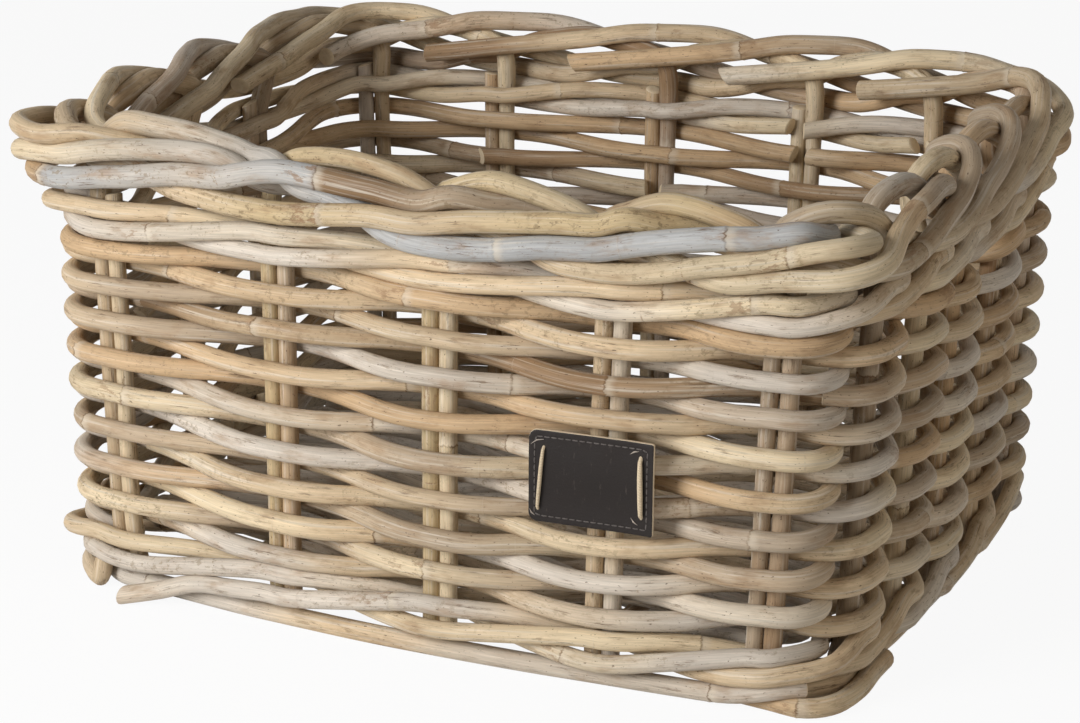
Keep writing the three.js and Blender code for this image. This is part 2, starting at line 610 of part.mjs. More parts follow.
function addTag() {
  const [w, h, r] = [TAG_WIDTH / 2, TAG_HEIGHT / 2, TAG_CORNER_RADIUS];
  const shape = new THREE.Shape();
  shape.moveTo(-w + r, -h);
  shape.lineTo(w - r, -h);
  shape.absarc(w - r, -h + r, r, -Math.PI / 2, 0, false);
  shape.lineTo(w, h - r);
  shape.absarc(w - r, h - r, r, 0, Math.PI / 2, false);
  shape.lineTo(-w + r, h);
  shape.absarc(-w + r, h - r, r, Math.PI / 2, Math.PI, false);
  shape.lineTo(-w, -h + r);
  shape.absarc(-w + r, -h + r, r, Math.PI, 1.5 * Math.PI, false);
  const plate = new THREE.ExtrudeGeometry(shape, {
    depth: TAG_THICKNESS,
    bevelEnabled: false,
    curveSegments: 3,
  });
  plate.rotateX(Math.PI / 2);
  plate.translate(0, TAG_THICKNESS, 0);
  let tag = solidOf(plate);
  for (const sx of [-1, 1]) {
    for (const sz of [-1, 1]) {
      const hole = new THREE.CylinderGeometry(TAG_HOLE_RADIUS, TAG_HOLE_RADIUS, TAG_THICKNESS * 6, 8);
      hole.translate((sx * TAG_CORD_SPACING) / 2, 0, (sz * TAG_CORD_HEIGHT) / 2);
      tag = tag.subtract(solidOf(hole));
    }
  }
  const { nx, ny } = outline(distanceAt(TAG_COLUMN));
  const middle = wallPoint(TAG_COLUMN, TAG_PAST_STAKES, TAG_FRONT_OUT, TAG_MIDDLE_Z);
  const lean = (HALF_WIDTH_TOP - HALF_WIDTH_FLOOR) / WALL_TOP_Z;
  const plateGeometry = geometryOf(tag);
  plateGeometry.rotateX(lean);
  plateGeometry.rotateZ(Math.atan2(nx, -ny));
  plateGeometry.translate(middle.x, middle.y, middle.z);
  addPiece("leather_tag", plateGeometry, LEATHER);

  const frontOut = TAG_FRONT_OUT + CLEARANCE + TAG_CORD_RADIUS;
  const backOut = TAG_BACK_OUT - TAG_CORD_RADIUS - CLEARANCE;
  const bend = TAG_CORD_RADIUS;
  const cordPoint = (sx, sz, out, inward = 0) => {
    const along = TAG_PAST_STAKES + sx * (TAG_CORD_SPACING / 2 - (out === backOut ? inward : 0));
    const z = TAG_MIDDLE_Z + sz * (TAG_CORD_HEIGHT / 2 - (out === frontOut ? inward : 0));
    return wallPoint(TAG_COLUMN, along, out, z);
  };
  const path = [
    cordPoint(-1, 1, backOut - 1),
    cordPoint(-1, 1, frontOut - bend),
    cordPoint(-1, 1, frontOut, bend),
    cordPoint(-1, -1, frontOut, bend),
    cordPoint(-1, -1, frontOut - bend),
    cordPoint(-1, -1, backOut + bend),
    cordPoint(-1, -1, backOut, bend),
    cordPoint(1, -1, backOut, bend),
    cordPoint(1, -1, backOut + bend),
    cordPoint(1, -1, frontOut - bend),
    cordPoint(1, -1, frontOut, bend),
    cordPoint(1, 1, frontOut, bend),
    cordPoint(1, 1, frontOut - bend),
    cordPoint(1, 1, backOut - 1),
  ];
  addPiece("tag_cord", rodGeometry(path, TAG_CORD_RADIUS), CORD);
}

addStakes();
addRows();
addHandHoleWeaver("hand_hole_weaver_front", LEFT_HOLE_COLUMN + 1 - COLUMNS, RIGHT_HOLE_COLUMN);
addHandHoleWeaver("hand_hole_weaver_back", RIGHT_HOLE_COLUMN + 1, LEFT_HOLE_COLUMN);
addWale("upper_wale_rod", UPPER_WALE_Z, UPPER_WALE_COLUMN);
addWale("lower_wale_rod", LOWER_WALE_Z, LOWER_WALE_COLUMN);
addFoot();
addBase();
addTag();

export default basket;
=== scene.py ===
"""Looks of a bicycle basket of thick rattan rods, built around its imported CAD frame.

Lengths are in millimetres until a mesh is made. The basket's front wall faces -Y.
"""

import math

import bpy
import numpy as np
from mathutils import Matrix, Vector, kdtree


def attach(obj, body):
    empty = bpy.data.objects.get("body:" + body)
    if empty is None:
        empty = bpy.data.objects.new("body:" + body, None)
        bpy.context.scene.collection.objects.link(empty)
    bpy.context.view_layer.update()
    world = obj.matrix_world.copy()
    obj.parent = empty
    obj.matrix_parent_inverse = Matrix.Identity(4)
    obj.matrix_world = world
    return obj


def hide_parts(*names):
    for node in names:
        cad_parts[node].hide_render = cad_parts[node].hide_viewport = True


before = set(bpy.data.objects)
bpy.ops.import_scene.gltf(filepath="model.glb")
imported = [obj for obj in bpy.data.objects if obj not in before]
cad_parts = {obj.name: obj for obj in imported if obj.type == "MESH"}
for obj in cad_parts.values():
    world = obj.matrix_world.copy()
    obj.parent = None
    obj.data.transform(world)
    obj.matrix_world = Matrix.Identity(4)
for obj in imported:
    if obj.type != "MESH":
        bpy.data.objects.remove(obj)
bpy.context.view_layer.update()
MM = 0.001

# Walls, as in the CAD: half sizes to the middle of the stakes, and the outline's arcs
HALF_LENGTH_FLOOR = 203
HALF_LENGTH_TOP = 211
HALF_WIDTH_FLOOR = 164
HALF_WIDTH_TOP = 165
CORNER_RADIUS = 29
LONG_WALL_TURN = 0.155
END_WALL_TURN = 0.079
QUARTER = math.pi / 2

# Heights of the wall's parts
ROW_PITCH = 9.3
ROW_COUNT = 16
WALE_HALF_HEIGHT = 4.95
STAKE_FOOT_Z = 9.7
LOWER_WALE_Z = 22.95
FIRST_ROW_Z = 177.7
UPPER_WALE_Z = 192.95
WALL_TOP_Z = 197.9
RIM_Z = 238.95
BASE_Z = LOWER_WALE_Z
# At the corners the border's strands swing out, in full where they are this far out
OUTER_FACE = 10.6
CORNER_SWING = 12

# Rods
STAKE_RADIUS = 4.3
THICK_STAKE_RADIUS = 5.1
WEAVER_RADIUS = 4.8
WALE_RADIUS = 4.5
BORDER_RADIUS = 5.1
FOOT_RADIUS = 4.7
PAIR_HALF_SPACING = 4.35
STAKE_GIVE = 0.1
BY_STAKE_OVER_WALE = 9.5
SAMPLE_STEP = 4.0

# Stakes as parts of a lap round the outline from the front's middle, and which of them stand alone
STAKE_PARTS = {
    "front": [-0.1247, -0.0514, 0.012, 0.074, 0.1314],
    "right": [0.1709, 0.2112, 0.2471, 0.2952],
    "back": [0.3444, 0.3949, 0.4486, 0.5115, 0.5813, 0.636],
    "left": [0.711, 0.7652, 0.8223],
}
SINGLE_STAKES = [5, 6, 7, 10, 17]
# A hand hole lies between each of these columns and the next
RIGHT_HOLE_COLUMN = 7
LEFT_HOLE_COLUMN = 15

# How far the front wall's rows lie from even heights, for each column as (row, millimetres) pairs
ROW_STRAY = {
    0: [(1, -1.3), (5, -0.4), (9, 0.9), (16, 0.2)],
    1: [(1, 2.2), (4, 3.4), (8, -1.4), (12, -1.7), (16, 0.3)],
    2: [(1, 3.0), (5, 2.1), (9, -2.5), (13, -2.6), (16, 0.2)],
    3: [(1, -1.0), (4, 0.2), (6, 2.8), (10, -1.6), (12, -4.0), (16, -1.5)],
    4: [(1, -0.7), (5, 3.3), (9, 0.5), (13, 0.0), (16, 2.0)],
}
WALE_STRAY = {0: -0.8, 1: 1.6, 2: 1.2, 3: -2.2, 4: -1.8}
LARGEST_ROW_STRAY = 1.6
# How much higher the back wall's upper rows lie, as (row, millimetres) pairs. Row 0 is the wale.
BACK_COLUMNS = range(9, 15)
BACK_LIFT = [(0, 5), (2, 4.6), (6, 2.2), (10, 0)]


def make_arcs():
    """The outline's arcs from the front's middle: turn at start and end, middle x and y, radius."""
    long_sine, end_sine = math.sin(LONG_WALL_TURN), math.sin(END_WALL_TURN)
    long_rest, end_rest = 1 - math.cos(LONG_WALL_TURN), 1 - math.cos(END_WALL_TURN)
    turn_sum = long_sine * end_sine - long_rest * end_rest
    length = HALF_LENGTH_TOP - CORNER_RADIUS
    width = HALF_WIDTH_TOP - CORNER_RADIUS
    long_radius = CORNER_RADIUS + (length * end_sine - width * end_rest) / turn_sum
    end_radius = CORNER_RADIUS + (width * long_sine - length * long_rest) / turn_sum
    x = (long_radius - CORNER_RADIUS) * long_sine
    y = (end_radius - CORNER_RADIUS) * end_sine
    long_y = HALF_WIDTH_TOP - long_radius
    end_x = HALF_LENGTH_TOP - end_radius
    arcs = [
        (LONG_WALL_TURN, 0, -long_y, long_radius),
        (QUARTER - END_WALL_TURN, x, -y, CORNER_RADIUS),
        (QUARTER + END_WALL_TURN, end_x, 0, end_radius),
        (2 * QUARTER - LONG_WALL_TURN, x, y, CORNER_RADIUS),
        (2 * QUARTER + LONG_WALL_TURN, 0, long_y, long_radius),
        (3 * QUARTER - END_WALL_TURN, -x, y, CORNER_RADIUS),
        (3 * QUARTER + END_WALL_TURN, -end_x, 0, end_radius),
        (4 * QUARTER - LONG_WALL_TURN, -x, -y, CORNER_RADIUS),
        (4 * QUARTER, 0, -long_y, long_radius),
    ]
    return [(start, *arc) for start, arc in zip([0] + [arc[0] for arc in arcs], arcs)]


ARCS = make_arcs()
PERIMETER = sum((to - start) * radius for start, to, x, y, radius in ARCS)
STAKE_DISTANCES = [part * PERIMETER for parts in STAKE_PARTS.values() for part in parts]
COLUMNS = len(STAKE_DISTANCES)


def outline(distance):
    """The place on the wall's outline and its outward direction, as x, y, nx, ny."""
    left = distance % PERIMETER
    for start, to, x, y, radius in ARCS:
        length = (to - start) * radius
        if left <= length:
            turn = start + left / radius - QUARTER
            nx, ny = math.cos(turn), math.sin(turn)
            return x + radius * nx, y + radius * ny, nx, ny
        left -= length
    return outline(0)


def is_single(column):
    return column % COLUMNS in SINGLE_STAKES


def stand_radius(column):
    return THICK_STAKE_RADIUS if is_single(column) else STAKE_RADIUS


def distance_at(column):
    whole = math.floor(column)
    here = STAKE_DISTANCES[whole % COLUMNS] + whole // COLUMNS * PERIMETER
    after = STAKE_DISTANCES[(whole + 1) % COLUMNS] + (whole + 1) // COLUMNS * PERIMETER
    return here + (column - whole) * (after - here)


def wall_point(column, along, out, z):
    """A point by its column, then along the wall, out from the middle of the stakes, and up."""
    x, y, nx, ny = outline(distance_at(column))
    height = min(z, WALL_TOP_Z) / WALL_TOP_Z
    half_length = HALF_LENGTH_FLOOR + (HALF_LENGTH_TOP - HALF_LENGTH_FLOOR) * height
    half_width = HALF_WIDTH_FLOOR + (HALF_WIDTH_TOP - HALF_WIDTH_FLOOR) * height
    return np.array([
        x * half_length / HALF_LENGTH_TOP - ny * along + nx * out,
        y * half_width / HALF_WIDTH_TOP + nx * along + ny * out,
        z,
    ])


def spline(points, step=SAMPLE_STEP):
    """Points at even steps along a smooth curve through the given ones."""
    points = np.array(points, float)
    knots = lengths_along(points, 0.5)
    slopes = np.diff(points, axis=0) / np.diff(knots)[:, None]
    before, after = np.diff(knots)[:-1, None], np.diff(knots)[1:, None]
    middle = (slopes[:-1] * after + slopes[1:] * before) / (before + after)
    tangents = np.concatenate([slopes[:1], middle, slopes[-1:]])
    parts = []
    for i in range(len(points) - 1):
        span = knots[i + 1] - knots[i]
        count = max(2, int(np.linalg.norm(points[i + 1] - points[i])))
        t = np.arange(count)[:, None] / count
        parts.append(
            (2 * t**3 - 3 * t**2 + 1) * points[i]
            + (t**3 - 2 * t**2 + t) * span * tangents[i]
            + (3 * t**2 - 2 * t**3) * points[i + 1]
            + (t**3 - t**2) * span * tangents[i + 1]
        )
    return even_steps(np.concatenate(parts + [points[-1:]]), step)


def lengths_along(path, power=1):
    return np.concatenate([[0], np.cumsum(np.linalg.norm(np.diff(path, axis=0), axis=1) ** power)])


def interpolate(wanted, along, rows):
    """Rows of values at the wanted places, between rows that lie at the places along a rod."""
    return np.stack([np.interp(wanted, along, column) for column in np.transpose(rows)], axis=1)


def even_steps(path, step):
    along = lengths_along(path)
    wanted = np.linspace(0, along[-1], max(2, round(along[-1] / step) + 1))
    return interpolate(wanted, along, path)


def wander(count, rng, span):
    """Smooth noise between -1 and 1 with about one swing in each span of samples."""
    knots = rng.uniform(-1, 1, int(count / span) + 3)
    at = np.arange(count) / span
    whole = at.astype(int)
    part = (1 - np.cos((at - whole) * math.pi)) / 2
    return knots[whole] * (1 - part) + knots[whole + 1] * part


# Colours of the rods
def linear(red, green, blue):
    """A colour as a screen shows it, from 0 to 255, in the linear values that the shaders take."""
    values = np.array([red, green, blue]) / 255
    return np.where(values <= 0.04045, values / 12.92, ((values + 0.055) / 1.055) ** 2.4)


CREAM = linear(219, 200, 167)
PALE_GREY = linear(205, 194, 180)
BLUE_GREY = linear(187, 187, 186)
TAN = linear(197, 167, 130)
SAND = linear(208, 185, 152)
STRAW = linear(209, 186, 145)
GREY_TAN = linear(181, 161, 136)
BROWN = linear(150, 121, 90)
TINTS = [CREAM, PALE_GREY, TAN, SAND, GREY_TAN, BROWN]
TINT_SHARES = [0.23, 0.16, 0.16, 0.26, 0.14, 0.05]
# Colours along border strands, by column, each with the bays past that column where it is reached
STRAND_TINTS = {
    0: [(0, SAND), (1.4, BLUE_GREY), (4, BLUE_GREY)],
    1: [(0, STRAW), (1.1, SAND), (1.6, SAND), (2.6, CREAM)],
    2: [(0, STRAW), (1, CREAM), (2.4, CREAM), (3.1, TAN), (3.6, GREY_TAN)],
    3: [(0, SAND), (0.4, STRAW), (0.9, TAN), (1.4, SAND), (3, GREY_TAN)],
    4: [(0, GREY_TAN), (1, CREAM), (3, GREY_TAN)],
    5: [(0, GREY_TAN), (0.4, PALE_GREY), (1, GREY_TAN), (3, SAND)],
    14: [(0, SAND), (2, GREY_TAN), (3.5, SAND)],
    15: [(0, GREY_TAN), (1.9, SAND), (2.6, CREAM), (3.6, PALE_GREY)],
    16: [
        (0, SAND), (1.4, TAN), (1.7, TAN), (1.76, BLUE_GREY), (2.6, PALE_GREY), (3.32, BLUE_GREY),
        (3.37, BROWN), (3.7, BROWN), (4, GREY_TAN),
    ],
    17: [(0, SAND), (1.2, GREY_TAN), (1.6, SAND), (2.1, STRAW), (3, SAND), (3.7, STRAW)],
}
STRAND_SHADE = 0.86
# Bays at which strands show an old leaf joint, and how marked their skin is
STRAND_JOINTS = {0: [3.7], 2: [3.3], 15: [2.1], 16: [1.73, 3.35], 17: [1.4]}
STRAND_MARKS = {0: 0.25, 1: 0.8, 2: 0.7, 3: 0.9, 15: 1.0, 16: 0.8, 17: 1.0}
DEFAULT_MARKS = 0.4

# Rods stray from their lines and swell, with about one swing in so many samples
STRAY_SPAN = 14
SWELL_SPAN = 30
SWELL = 0.035
rods = []


def add_rod(node, path, radius, give=0.5, stray=0.45, weaving=None, **look):
    """Keeps a rod's middle line. give is how easily it moves aside for others.

    weaving is the column where a weaver starts and after how many stakes its way repeats.
    """
    rng = np.random.default_rng(len(rods) + 100)
    count = len(path)
    strays = np.stack([wander(count, rng, STRAY_SPAN) for axis in range(3)], axis=1)
    swell = 1 + SWELL * wander(count, rng, SWELL_SPAN)
    rods.append({
        "node": node,
        "path": path + strays * stray,
        "radius": np.broadcast_to(radius, (count,)) * swell,
        "give": np.broadcast_to(give, (count,)).astype(float),
        "weaving": weaving,
        "look": look,
    })


# Rows of plain weave
# How far a rod runs straight to each side of a stake's middle
FLAT_AT_STAKES = 6.5
# In the end walls it runs straight for longer and bends more sharply
END_WALL_FLAT = 9.5
END_WALL_BAYS = [4, 5, 6, 7, 8, 14, 15, 16, 17]
# How many columns further on each row's rod starts than the one above it
START_STEP = 7
WEAVER_SPREAD = (-0.25, 0.15)
ROW_SEED = 1000


def row_z(row, column):
    z = FIRST_ROW_Z - (row - 1) * ROW_PITCH
    stray = ROW_STRAY.get(column % COLUMNS)
    if stray:
        return z + np.interp(row, *zip(*stray))
    rng = np.random.default_rng(ROW_SEED + 40 * (column % COLUMNS))
    strays = rng.uniform(-LARGEST_ROW_STRAY, LARGEST_ROW_STRAY, 4)
    return z + back_lift(row, column) + np.interp(row, [1, 5, 10, 16], strays)


def back_lift(row, column):
    return np.interp(row, *zip(*BACK_LIFT)) if column % COLUMNS in BACK_COLUMNS else 0


def side_of(row, column):
    return 1 if (column + row) % 2 else -1


def start_of(row, column):
    """The first column from the given one with a pair of stakes that the row passes behind."""
    while side_of(row, column) == 1 or is_single(column):
        column += 1
    return column


def weave(row, start, end, radius=WEAVER_RADIUS):
    """A row's path between two columns. It changes sides in each bay."""
    points = []
    for column in range(start, end):
        bay = distance_at(column + 1) - distance_at(column)
        count = math.ceil(bay / SAMPLE_STEP)
        outs = [side_of(row, c) * (stand_radius(c) + radius) for c in (column, column + 1)]
        z, rise = row_z(row, column), row_z(row, column + 1) - row_z(row, column)
        in_end_wall = column % COLUMNS in END_WALL_BAYS
        flat = END_WALL_FLAT if in_end_wall else FLAT_AT_STAKES
        for i in range(count + (column == end - 1)):
            part = i / count
            at = min(1, max(0, (part * bay - flat) / (bay - 2 * flat)))
            swing = (1 - math.cos(math.pi * at)) / 2
            if in_end_wall:
                swing = (swing + at) / 2
            out = outs[0] + (outs[1] - outs[0]) * swing
            points.append(wall_point(column + part, 0, out, z + rise * part))
    return points


def add_rows():
    for row in range(3, ROW_COUNT + 1):
        start = start_of(row, row * START_STEP % COLUMNS)
        radius = WEAVER_RADIUS + np.random.default_rng(row).uniform(*WEAVER_SPREAD)
        path = np.array(weave(row, start, start + COLUMNS, radius)[:-1])
        add_rod(f"weaver_row_{row}", even_steps(path, SAMPLE_STEP), radius, weaving=(start, 2))


def turn_back(column, direction, from_side, from_row, to_row):
    """Points round the stakes beside a hand hole, from one row to the next."""
    reach = stand_radius(column) + WEAVER_RADIUS
    straight = 0 if is_single(column) else PAIR_HALF_SPACING
    from_z, to_z = row_z(from_row, column), row_z(to_row, column)
    points = []
    for part in (0, 0.2, 0.4, 0.6, 0.8, 1):
        angle = math.pi * part
        along = direction * (straight + math.sin(angle) * reach)
        out = from_side * math.cos(angle) * reach
        points.append(wall_point(column, along, out, from_z + (to_z - from_z) * part))
    return points


def add_hand_hole_weaver(node, first, last):
    """The upper two rows between two holes: one rod that starts and ends in the upper row."""
    start = start_of(1, first + 2)
    path = [
        *weave(1, start, last)[:-1],
        *turn_back(last, 1, side_of(1, last), 1, 2),
        *weave(2, first, last)[-2:0:-1],
        *turn_back(first, -1, side_of(2, first), 2, 1),
        *weave(1, first, start)[1:-1],
    ]
    add_rod(node, even_steps(np.array(path), SAMPLE_STEP), WEAVER_RADIUS, tints=(SAND, TAN))


# Three-rod wales
# Each strand passes two stakes in front and one behind: its side and lift at a stake, then how far
# out and how high it is halfway to the next one
WALE_PHASES = [(1, -1, 2, 0), (1, 1, 0, 1), (-1, 0, 0, -1)]
WALE_TINTS = [(CREAM, PALE_GREY), (SAND, CREAM), (PALE_GREY, SAND)]
# How much lower the lower wale's lower strands lie
LOWER_WALE_DROP = 1.6
# The lower wale's last rod starts with a cut end that sticks out at the left front corner. Each
# point is (column, out from the stakes, height).
LEAD_IN = [(0.15, 22, 5), (0.32, 14.5, 8.7), (0.52, 11, 15), (0.75, 9.5, 16.6)]


def wale_stray(column, height):
    lift = back_lift(0, column) if height == UPPER_WALE_Z else 0
    return WALE_STRAY.get(column % COLUMNS, 0) + lift


def add_wale(name, height, first_start, lead_in=None):
    for rod in range(3):
        start = first_start + 2 - rod
        points = []
        for column in range(start, start + COLUMNS + 1):
            side, lift, between_out, between_lift = WALE_PHASES[(column + rod) % 3]
            reach = stand_radius(column) + WALE_RADIUS
            stray = wale_stray(column, height)
            z = height + stray + lift * WALE_HALF_HEIGHT
            if lift < 0 and height == LOWER_WALE_Z:
                z -= LOWER_WALE_DROP
            for along in (-FLAT_AT_STAKES, FLAT_AT_STAKES):
                points.append(wall_point(column, along, side * reach, z))
            out = reach + between_out if between_out else 0
            stray = (stray + wale_stray(column + 1, height)) / 2
            z = height + stray + between_lift * WALE_HALF_HEIGHT
            points.append(wall_point(column + 0.5, 0, out, z))
        points = points[1:-2]
        if lead_in and rod == 2:
            points[:2] = [wall_point(column, 0, out, z) for column, out, z in lead_in]
        look = {"weaving": (start, 3), "tints": WALE_TINTS[rod]}
        add_rod(f"{name}_{rod + 1}", spline(points), WALE_RADIUS, **look)


# Border
# A strand arches over the wall, dips behind two others, rises over the outer face and turns in. Each
# step is (bays past its own column, out from the stakes, height over the rim).
ARCH = [
    (0, -5.5, -13), (0.07, -4.3, -5.5), (0.22, -2, -1.2), (0.5, 0.5, 0), (0.77, 2.5, -4.8),
    (0.88, 3, -9.5), (1, 3.5, -14.5),
]
RISE = [
    (1.25, 4.2, -22), (1.5, 5, -28), (1.75, 9.5, -32), (2, 12, -33), (2.3, 12.8, -30.5),
    (2.7, 12.8, -25), (3, 13, -19), (3.35, 12.8, -13),
]
TURN_OVER = [
    (3.6, 11, -6), (3.76, 6, -1.8), (3.88, -0.5, -1.2), (3.98, -7.5, -4.5), (4.1, -12.8, -9.5),
    (4.4, -15, -14), (4.9, -15.4, -18.5), (5.35, -15.2, -22.5), (5.55, -15, -25),
]
BACK_RISE = [
    (1.25, 4.2, -22), (1.5, 5, -28), (1.75, 9.5, -32), (2, 12, -32.5), (2.3, 12.8, -29.5),
    (2.7, 12.8, -23.5), (3, 12.8, -17), (3.35, 12.5, -10.5),
]
BACK_TURN = [
    (3.55, 9, -5), (3.78, 4.5, -2), (4, -0.5, -1.5), (4.22, -6, -3), (4.5, -10.8, -6.5),
    (4.9, -13.8, -11.5), (5.3, -14.6, -16.5), (5.5, -14.4, -19),
]
LEFT_RISE = [
    (1.25, 4.2, -22), (1.5, 5, -28), (1.75, 9.5, -31), (2, 12, -30.5), (2.35, 12.8, -26),
    (2.7, 12.5, -18), (3, 12, -10), (3.2, 11, -5.5),
]
LEFT_TURN = [
    (3.45, 8.5, -2), (3.75, 3.5, -0.5), (4.05, -2.5, -1.2), (4.35, -8, -4.8), (4.7, -11.5, -10.5),
    (5.1, -13, -17), (5.5, -13, -24),
]
TURN_UNDER = [
    (4.1, 7.5, -10.5), (4.25, 1.5, -11.5), (4.42, -6.5, -13), (4.6, -11.3, -17.5), (4.85, -14.4, -23.5),
    (5, -14.6, -26.5), (5.3, -14.2, -31.5),
]
# How far each column's arch sags, and its strand's steps where they aren't the usual ones
ARCH_SAG = {1: -1.5, 2: -6, 3: -7, 4: -5, 5: -2, 14: -4, 15: -4, 16: -3, 17: -3}
ARCH_SAG |= dict.fromkeys(range(8, 14), -5)
RISES = {
    0: [
        (1.0, 3.5, -10), (1.15, 4.5, -16), (1.35, 6, -18), (1.55, 8.5, -22), (1.77, 11, -29.5),
        (2.01, 12.5, -33), (2.29, 12.8, -31.4), (2.71, 12.8, -25.8), (3.19, 12.5, -19.7),
        (3.65, 12, -15.3), (3.9, 9, -15.5),
    ],
    1: [
        (1.2, 4, -20), (1.5, 6, -28), (1.7, 10, -33), (1.99, 12.5, -34.8), (2.27, 13, -32.2),
        (2.65, 13, -25.4), (2.99, 13, -17.5), (3.3, 12, -12.2), (3.48, 10, -13),
    ],
    2: [
        (1.2, 5, -24), (1.45, 8, -31), (1.69, 11, -33.4), (1.99, 13, -30.1), (2.3, 15, -25.8),
        (2.49, 16, -22.4), (2.8, 15, -15), (3.1, 13, -11), (3.45, 12, -8), (3.8, 9, -7),
    ],
    14: [
        (1.25, 4.2, -20.5), (1.5, 5, -27), (1.75, 9.5, -32), (2, 12, -33), (2.5, 12.8, -27),
        (3, 13, -16), (3.4, 14, -8), (3.54, 14, -7.3), (3.75, 11, -9.5),
    ],
    15: [
        (1.25, 4.2, -20.5), (1.5, 5, -27), (1.8, 10, -32), (2.1, 14, -29), (2.5, 16, -21.5),
        (3, 14.5, -11.3), (3.3, 13.5, -7.5), (3.65, 11, -6.5), (3.9, 7, -9.5),
    ],
    16: [
        (1.25, 6, -23), (1.5, 10, -29), (1.81, 13, -27.8), (2.13, 13, -23.2), (2.39, 13, -19.4),
        (2.83, 13, -10.2), (3.13, 13, -6.8), (3.34, 12, -8.2), (3.64, 10, -12.3), (3.95, 8, -16),
    ],
    17: [
        (1.15, 4, -17), (1.41, 8, -23.1), (1.61, 11, -24.5), (1.83, 12.5, -26.8), (2.12, 12.8, -27.1),
        (2.48, 12.8, -22.9), (2.84, 12.5, -19), (3.43, 12, -17.2), (3.74, 11, -16.3), (3.95, 8, -16.5),
    ],
}
RISES |= dict.fromkeys(range(5, 11), BACK_RISE) | dict.fromkeys(range(11, 14), LEFT_RISE)
TURNS_IN = {
    1: [(3.57, 5, -14.5), (3.64, -2, -16), (3.75, -8, -18.5), (4, -13, -24), (4.3, -14, -29)],
    14: [(3.95, 5, -8.5), (4.1, -1, -8.5), (4.25, -7, -11), (4.45, -12, -15), (4.9, -14.5, -20.5)],
    15: [(4.05, 1, -13), (4.2, -6, -16), (4.4, -11.5, -20), (4.8, -14.5, -25), (5, -14.5, -27)],
}
TURNS_IN |= dict.fromkeys(range(5, 11), BACK_TURN) | dict.fromkeys(range(11, 14), LEFT_TURN)
TURNS_IN |= dict.fromkeys((0, 2, 16, 17), TURN_UNDER)
# How much higher the rim lies, as (column, millimetres) pairs
RIM_LIFT = [(7.2, 0), (8.8, 4.5), (10.5, 4.5), (13, 0)]
STRAND_RADII = {0: 5.6, 1: 4.9, 2: 5.2, 3: 5.0, 5: 5.4, 15: 5.3, 16: 5.7, 17: 5.6}


def border_steps(column):
    sag = ARCH_SAG.get(column, 0)
    rise = RISES.get(column, RISE)
    arch = [
        (bays, out, over + sag * min(1, bays / 0.05 + 0.3))
        for bays, out, over in ARCH if bays < rise[0][0] - 0.01
    ]
    return arch + rise + TURNS_IN.get(column, TURN_OVER)


def border_point(column, bays, along, out, over):
    nx, ny = outline(distance_at(column + bays))[2:]
    outer_part = min(1, max(0, out / OUTER_FACE))
    swing = CORNER_SWING * (2 * nx * ny) ** 2 * outer_part
    lift = np.interp((column + bays) % COLUMNS, *zip(*RIM_LIFT))
    return wall_point(column + bays, along, out + swing, RIM_Z + over + lift)


def strand_look(column, steps, places, count):
    """The colours along a stake and its strand, its joints' samples and how marked it is."""
    bays = [step[0] for step in steps]
    at = np.interp(np.arange(count), places, bays)
    return {
        "colours": interpolate(at, *zip(*STRAND_TINTS[column])) * STRAND_SHADE,
        "joints": [int(np.interp(joint, bays, places)) for joint in STRAND_JOINTS.get(column, [])],
        "marks": STRAND_MARKS.get(column, DEFAULT_MARKS),
    }


def add_stakes():
    column = 0
    for wall, parts in STAKE_PARTS.items():
        for number in range(1, len(parts) + 1):
            along = 0 if is_single(column) else -PAIR_HALF_SPACING
            heights = np.linspace(STAKE_FOOT_Z, WALL_TOP_Z, 6)
            upright = [wall_point(column, along, 0, z) for z in heights]
            steps = border_steps(column)
            strand = [
                border_point(column, bays, along * max(0, 1 - bays / 0.2), out, over)
                for bays, out, over in steps
            ]
            path = spline(upright + strand)
            places = [int(np.argmin(np.linalg.norm(path - point, axis=1))) for point in strand]
            in_wall = np.arange(len(path)) < int(WALL_TOP_Z / SAMPLE_STEP) - 2
            strand_radius = STRAND_RADII.get(column, BORDER_RADIUS)
            radius = np.where(in_wall, stand_radius(column), strand_radius)
            give = np.where(in_wall, STAKE_GIVE, 1.0)
            look = {}
            if column in STRAND_TINTS:
                look = strand_look(column, steps, places, len(path))
            add_rod(f"stake_{wall}_{number}", path, smooth(radius, 4), give, **look)
            if not is_single(column):
                top = UPPER_WALE_Z + BY_STAKE_OVER_WALE + back_lift(0, column)
                heights = np.linspace(STAKE_FOOT_Z, top, 8)
                beside = [wall_point(column, PAIR_HALF_SPACING, 0, z) for z in heights]
                add_rod(f"by_stake_{wall}_{number}", spline(beside), STAKE_RADIUS, STAKE_GIVE)
            column += 1


def smooth(values, rounds):
    """Evens out values along their first axis, with the ends kept as they are."""
    values = np.array(values, float)
    for _ in range(rounds):
        values[1:-1] = (values[:-2] + 2 * values[1:-1] + values[2:]) / 4
    return values


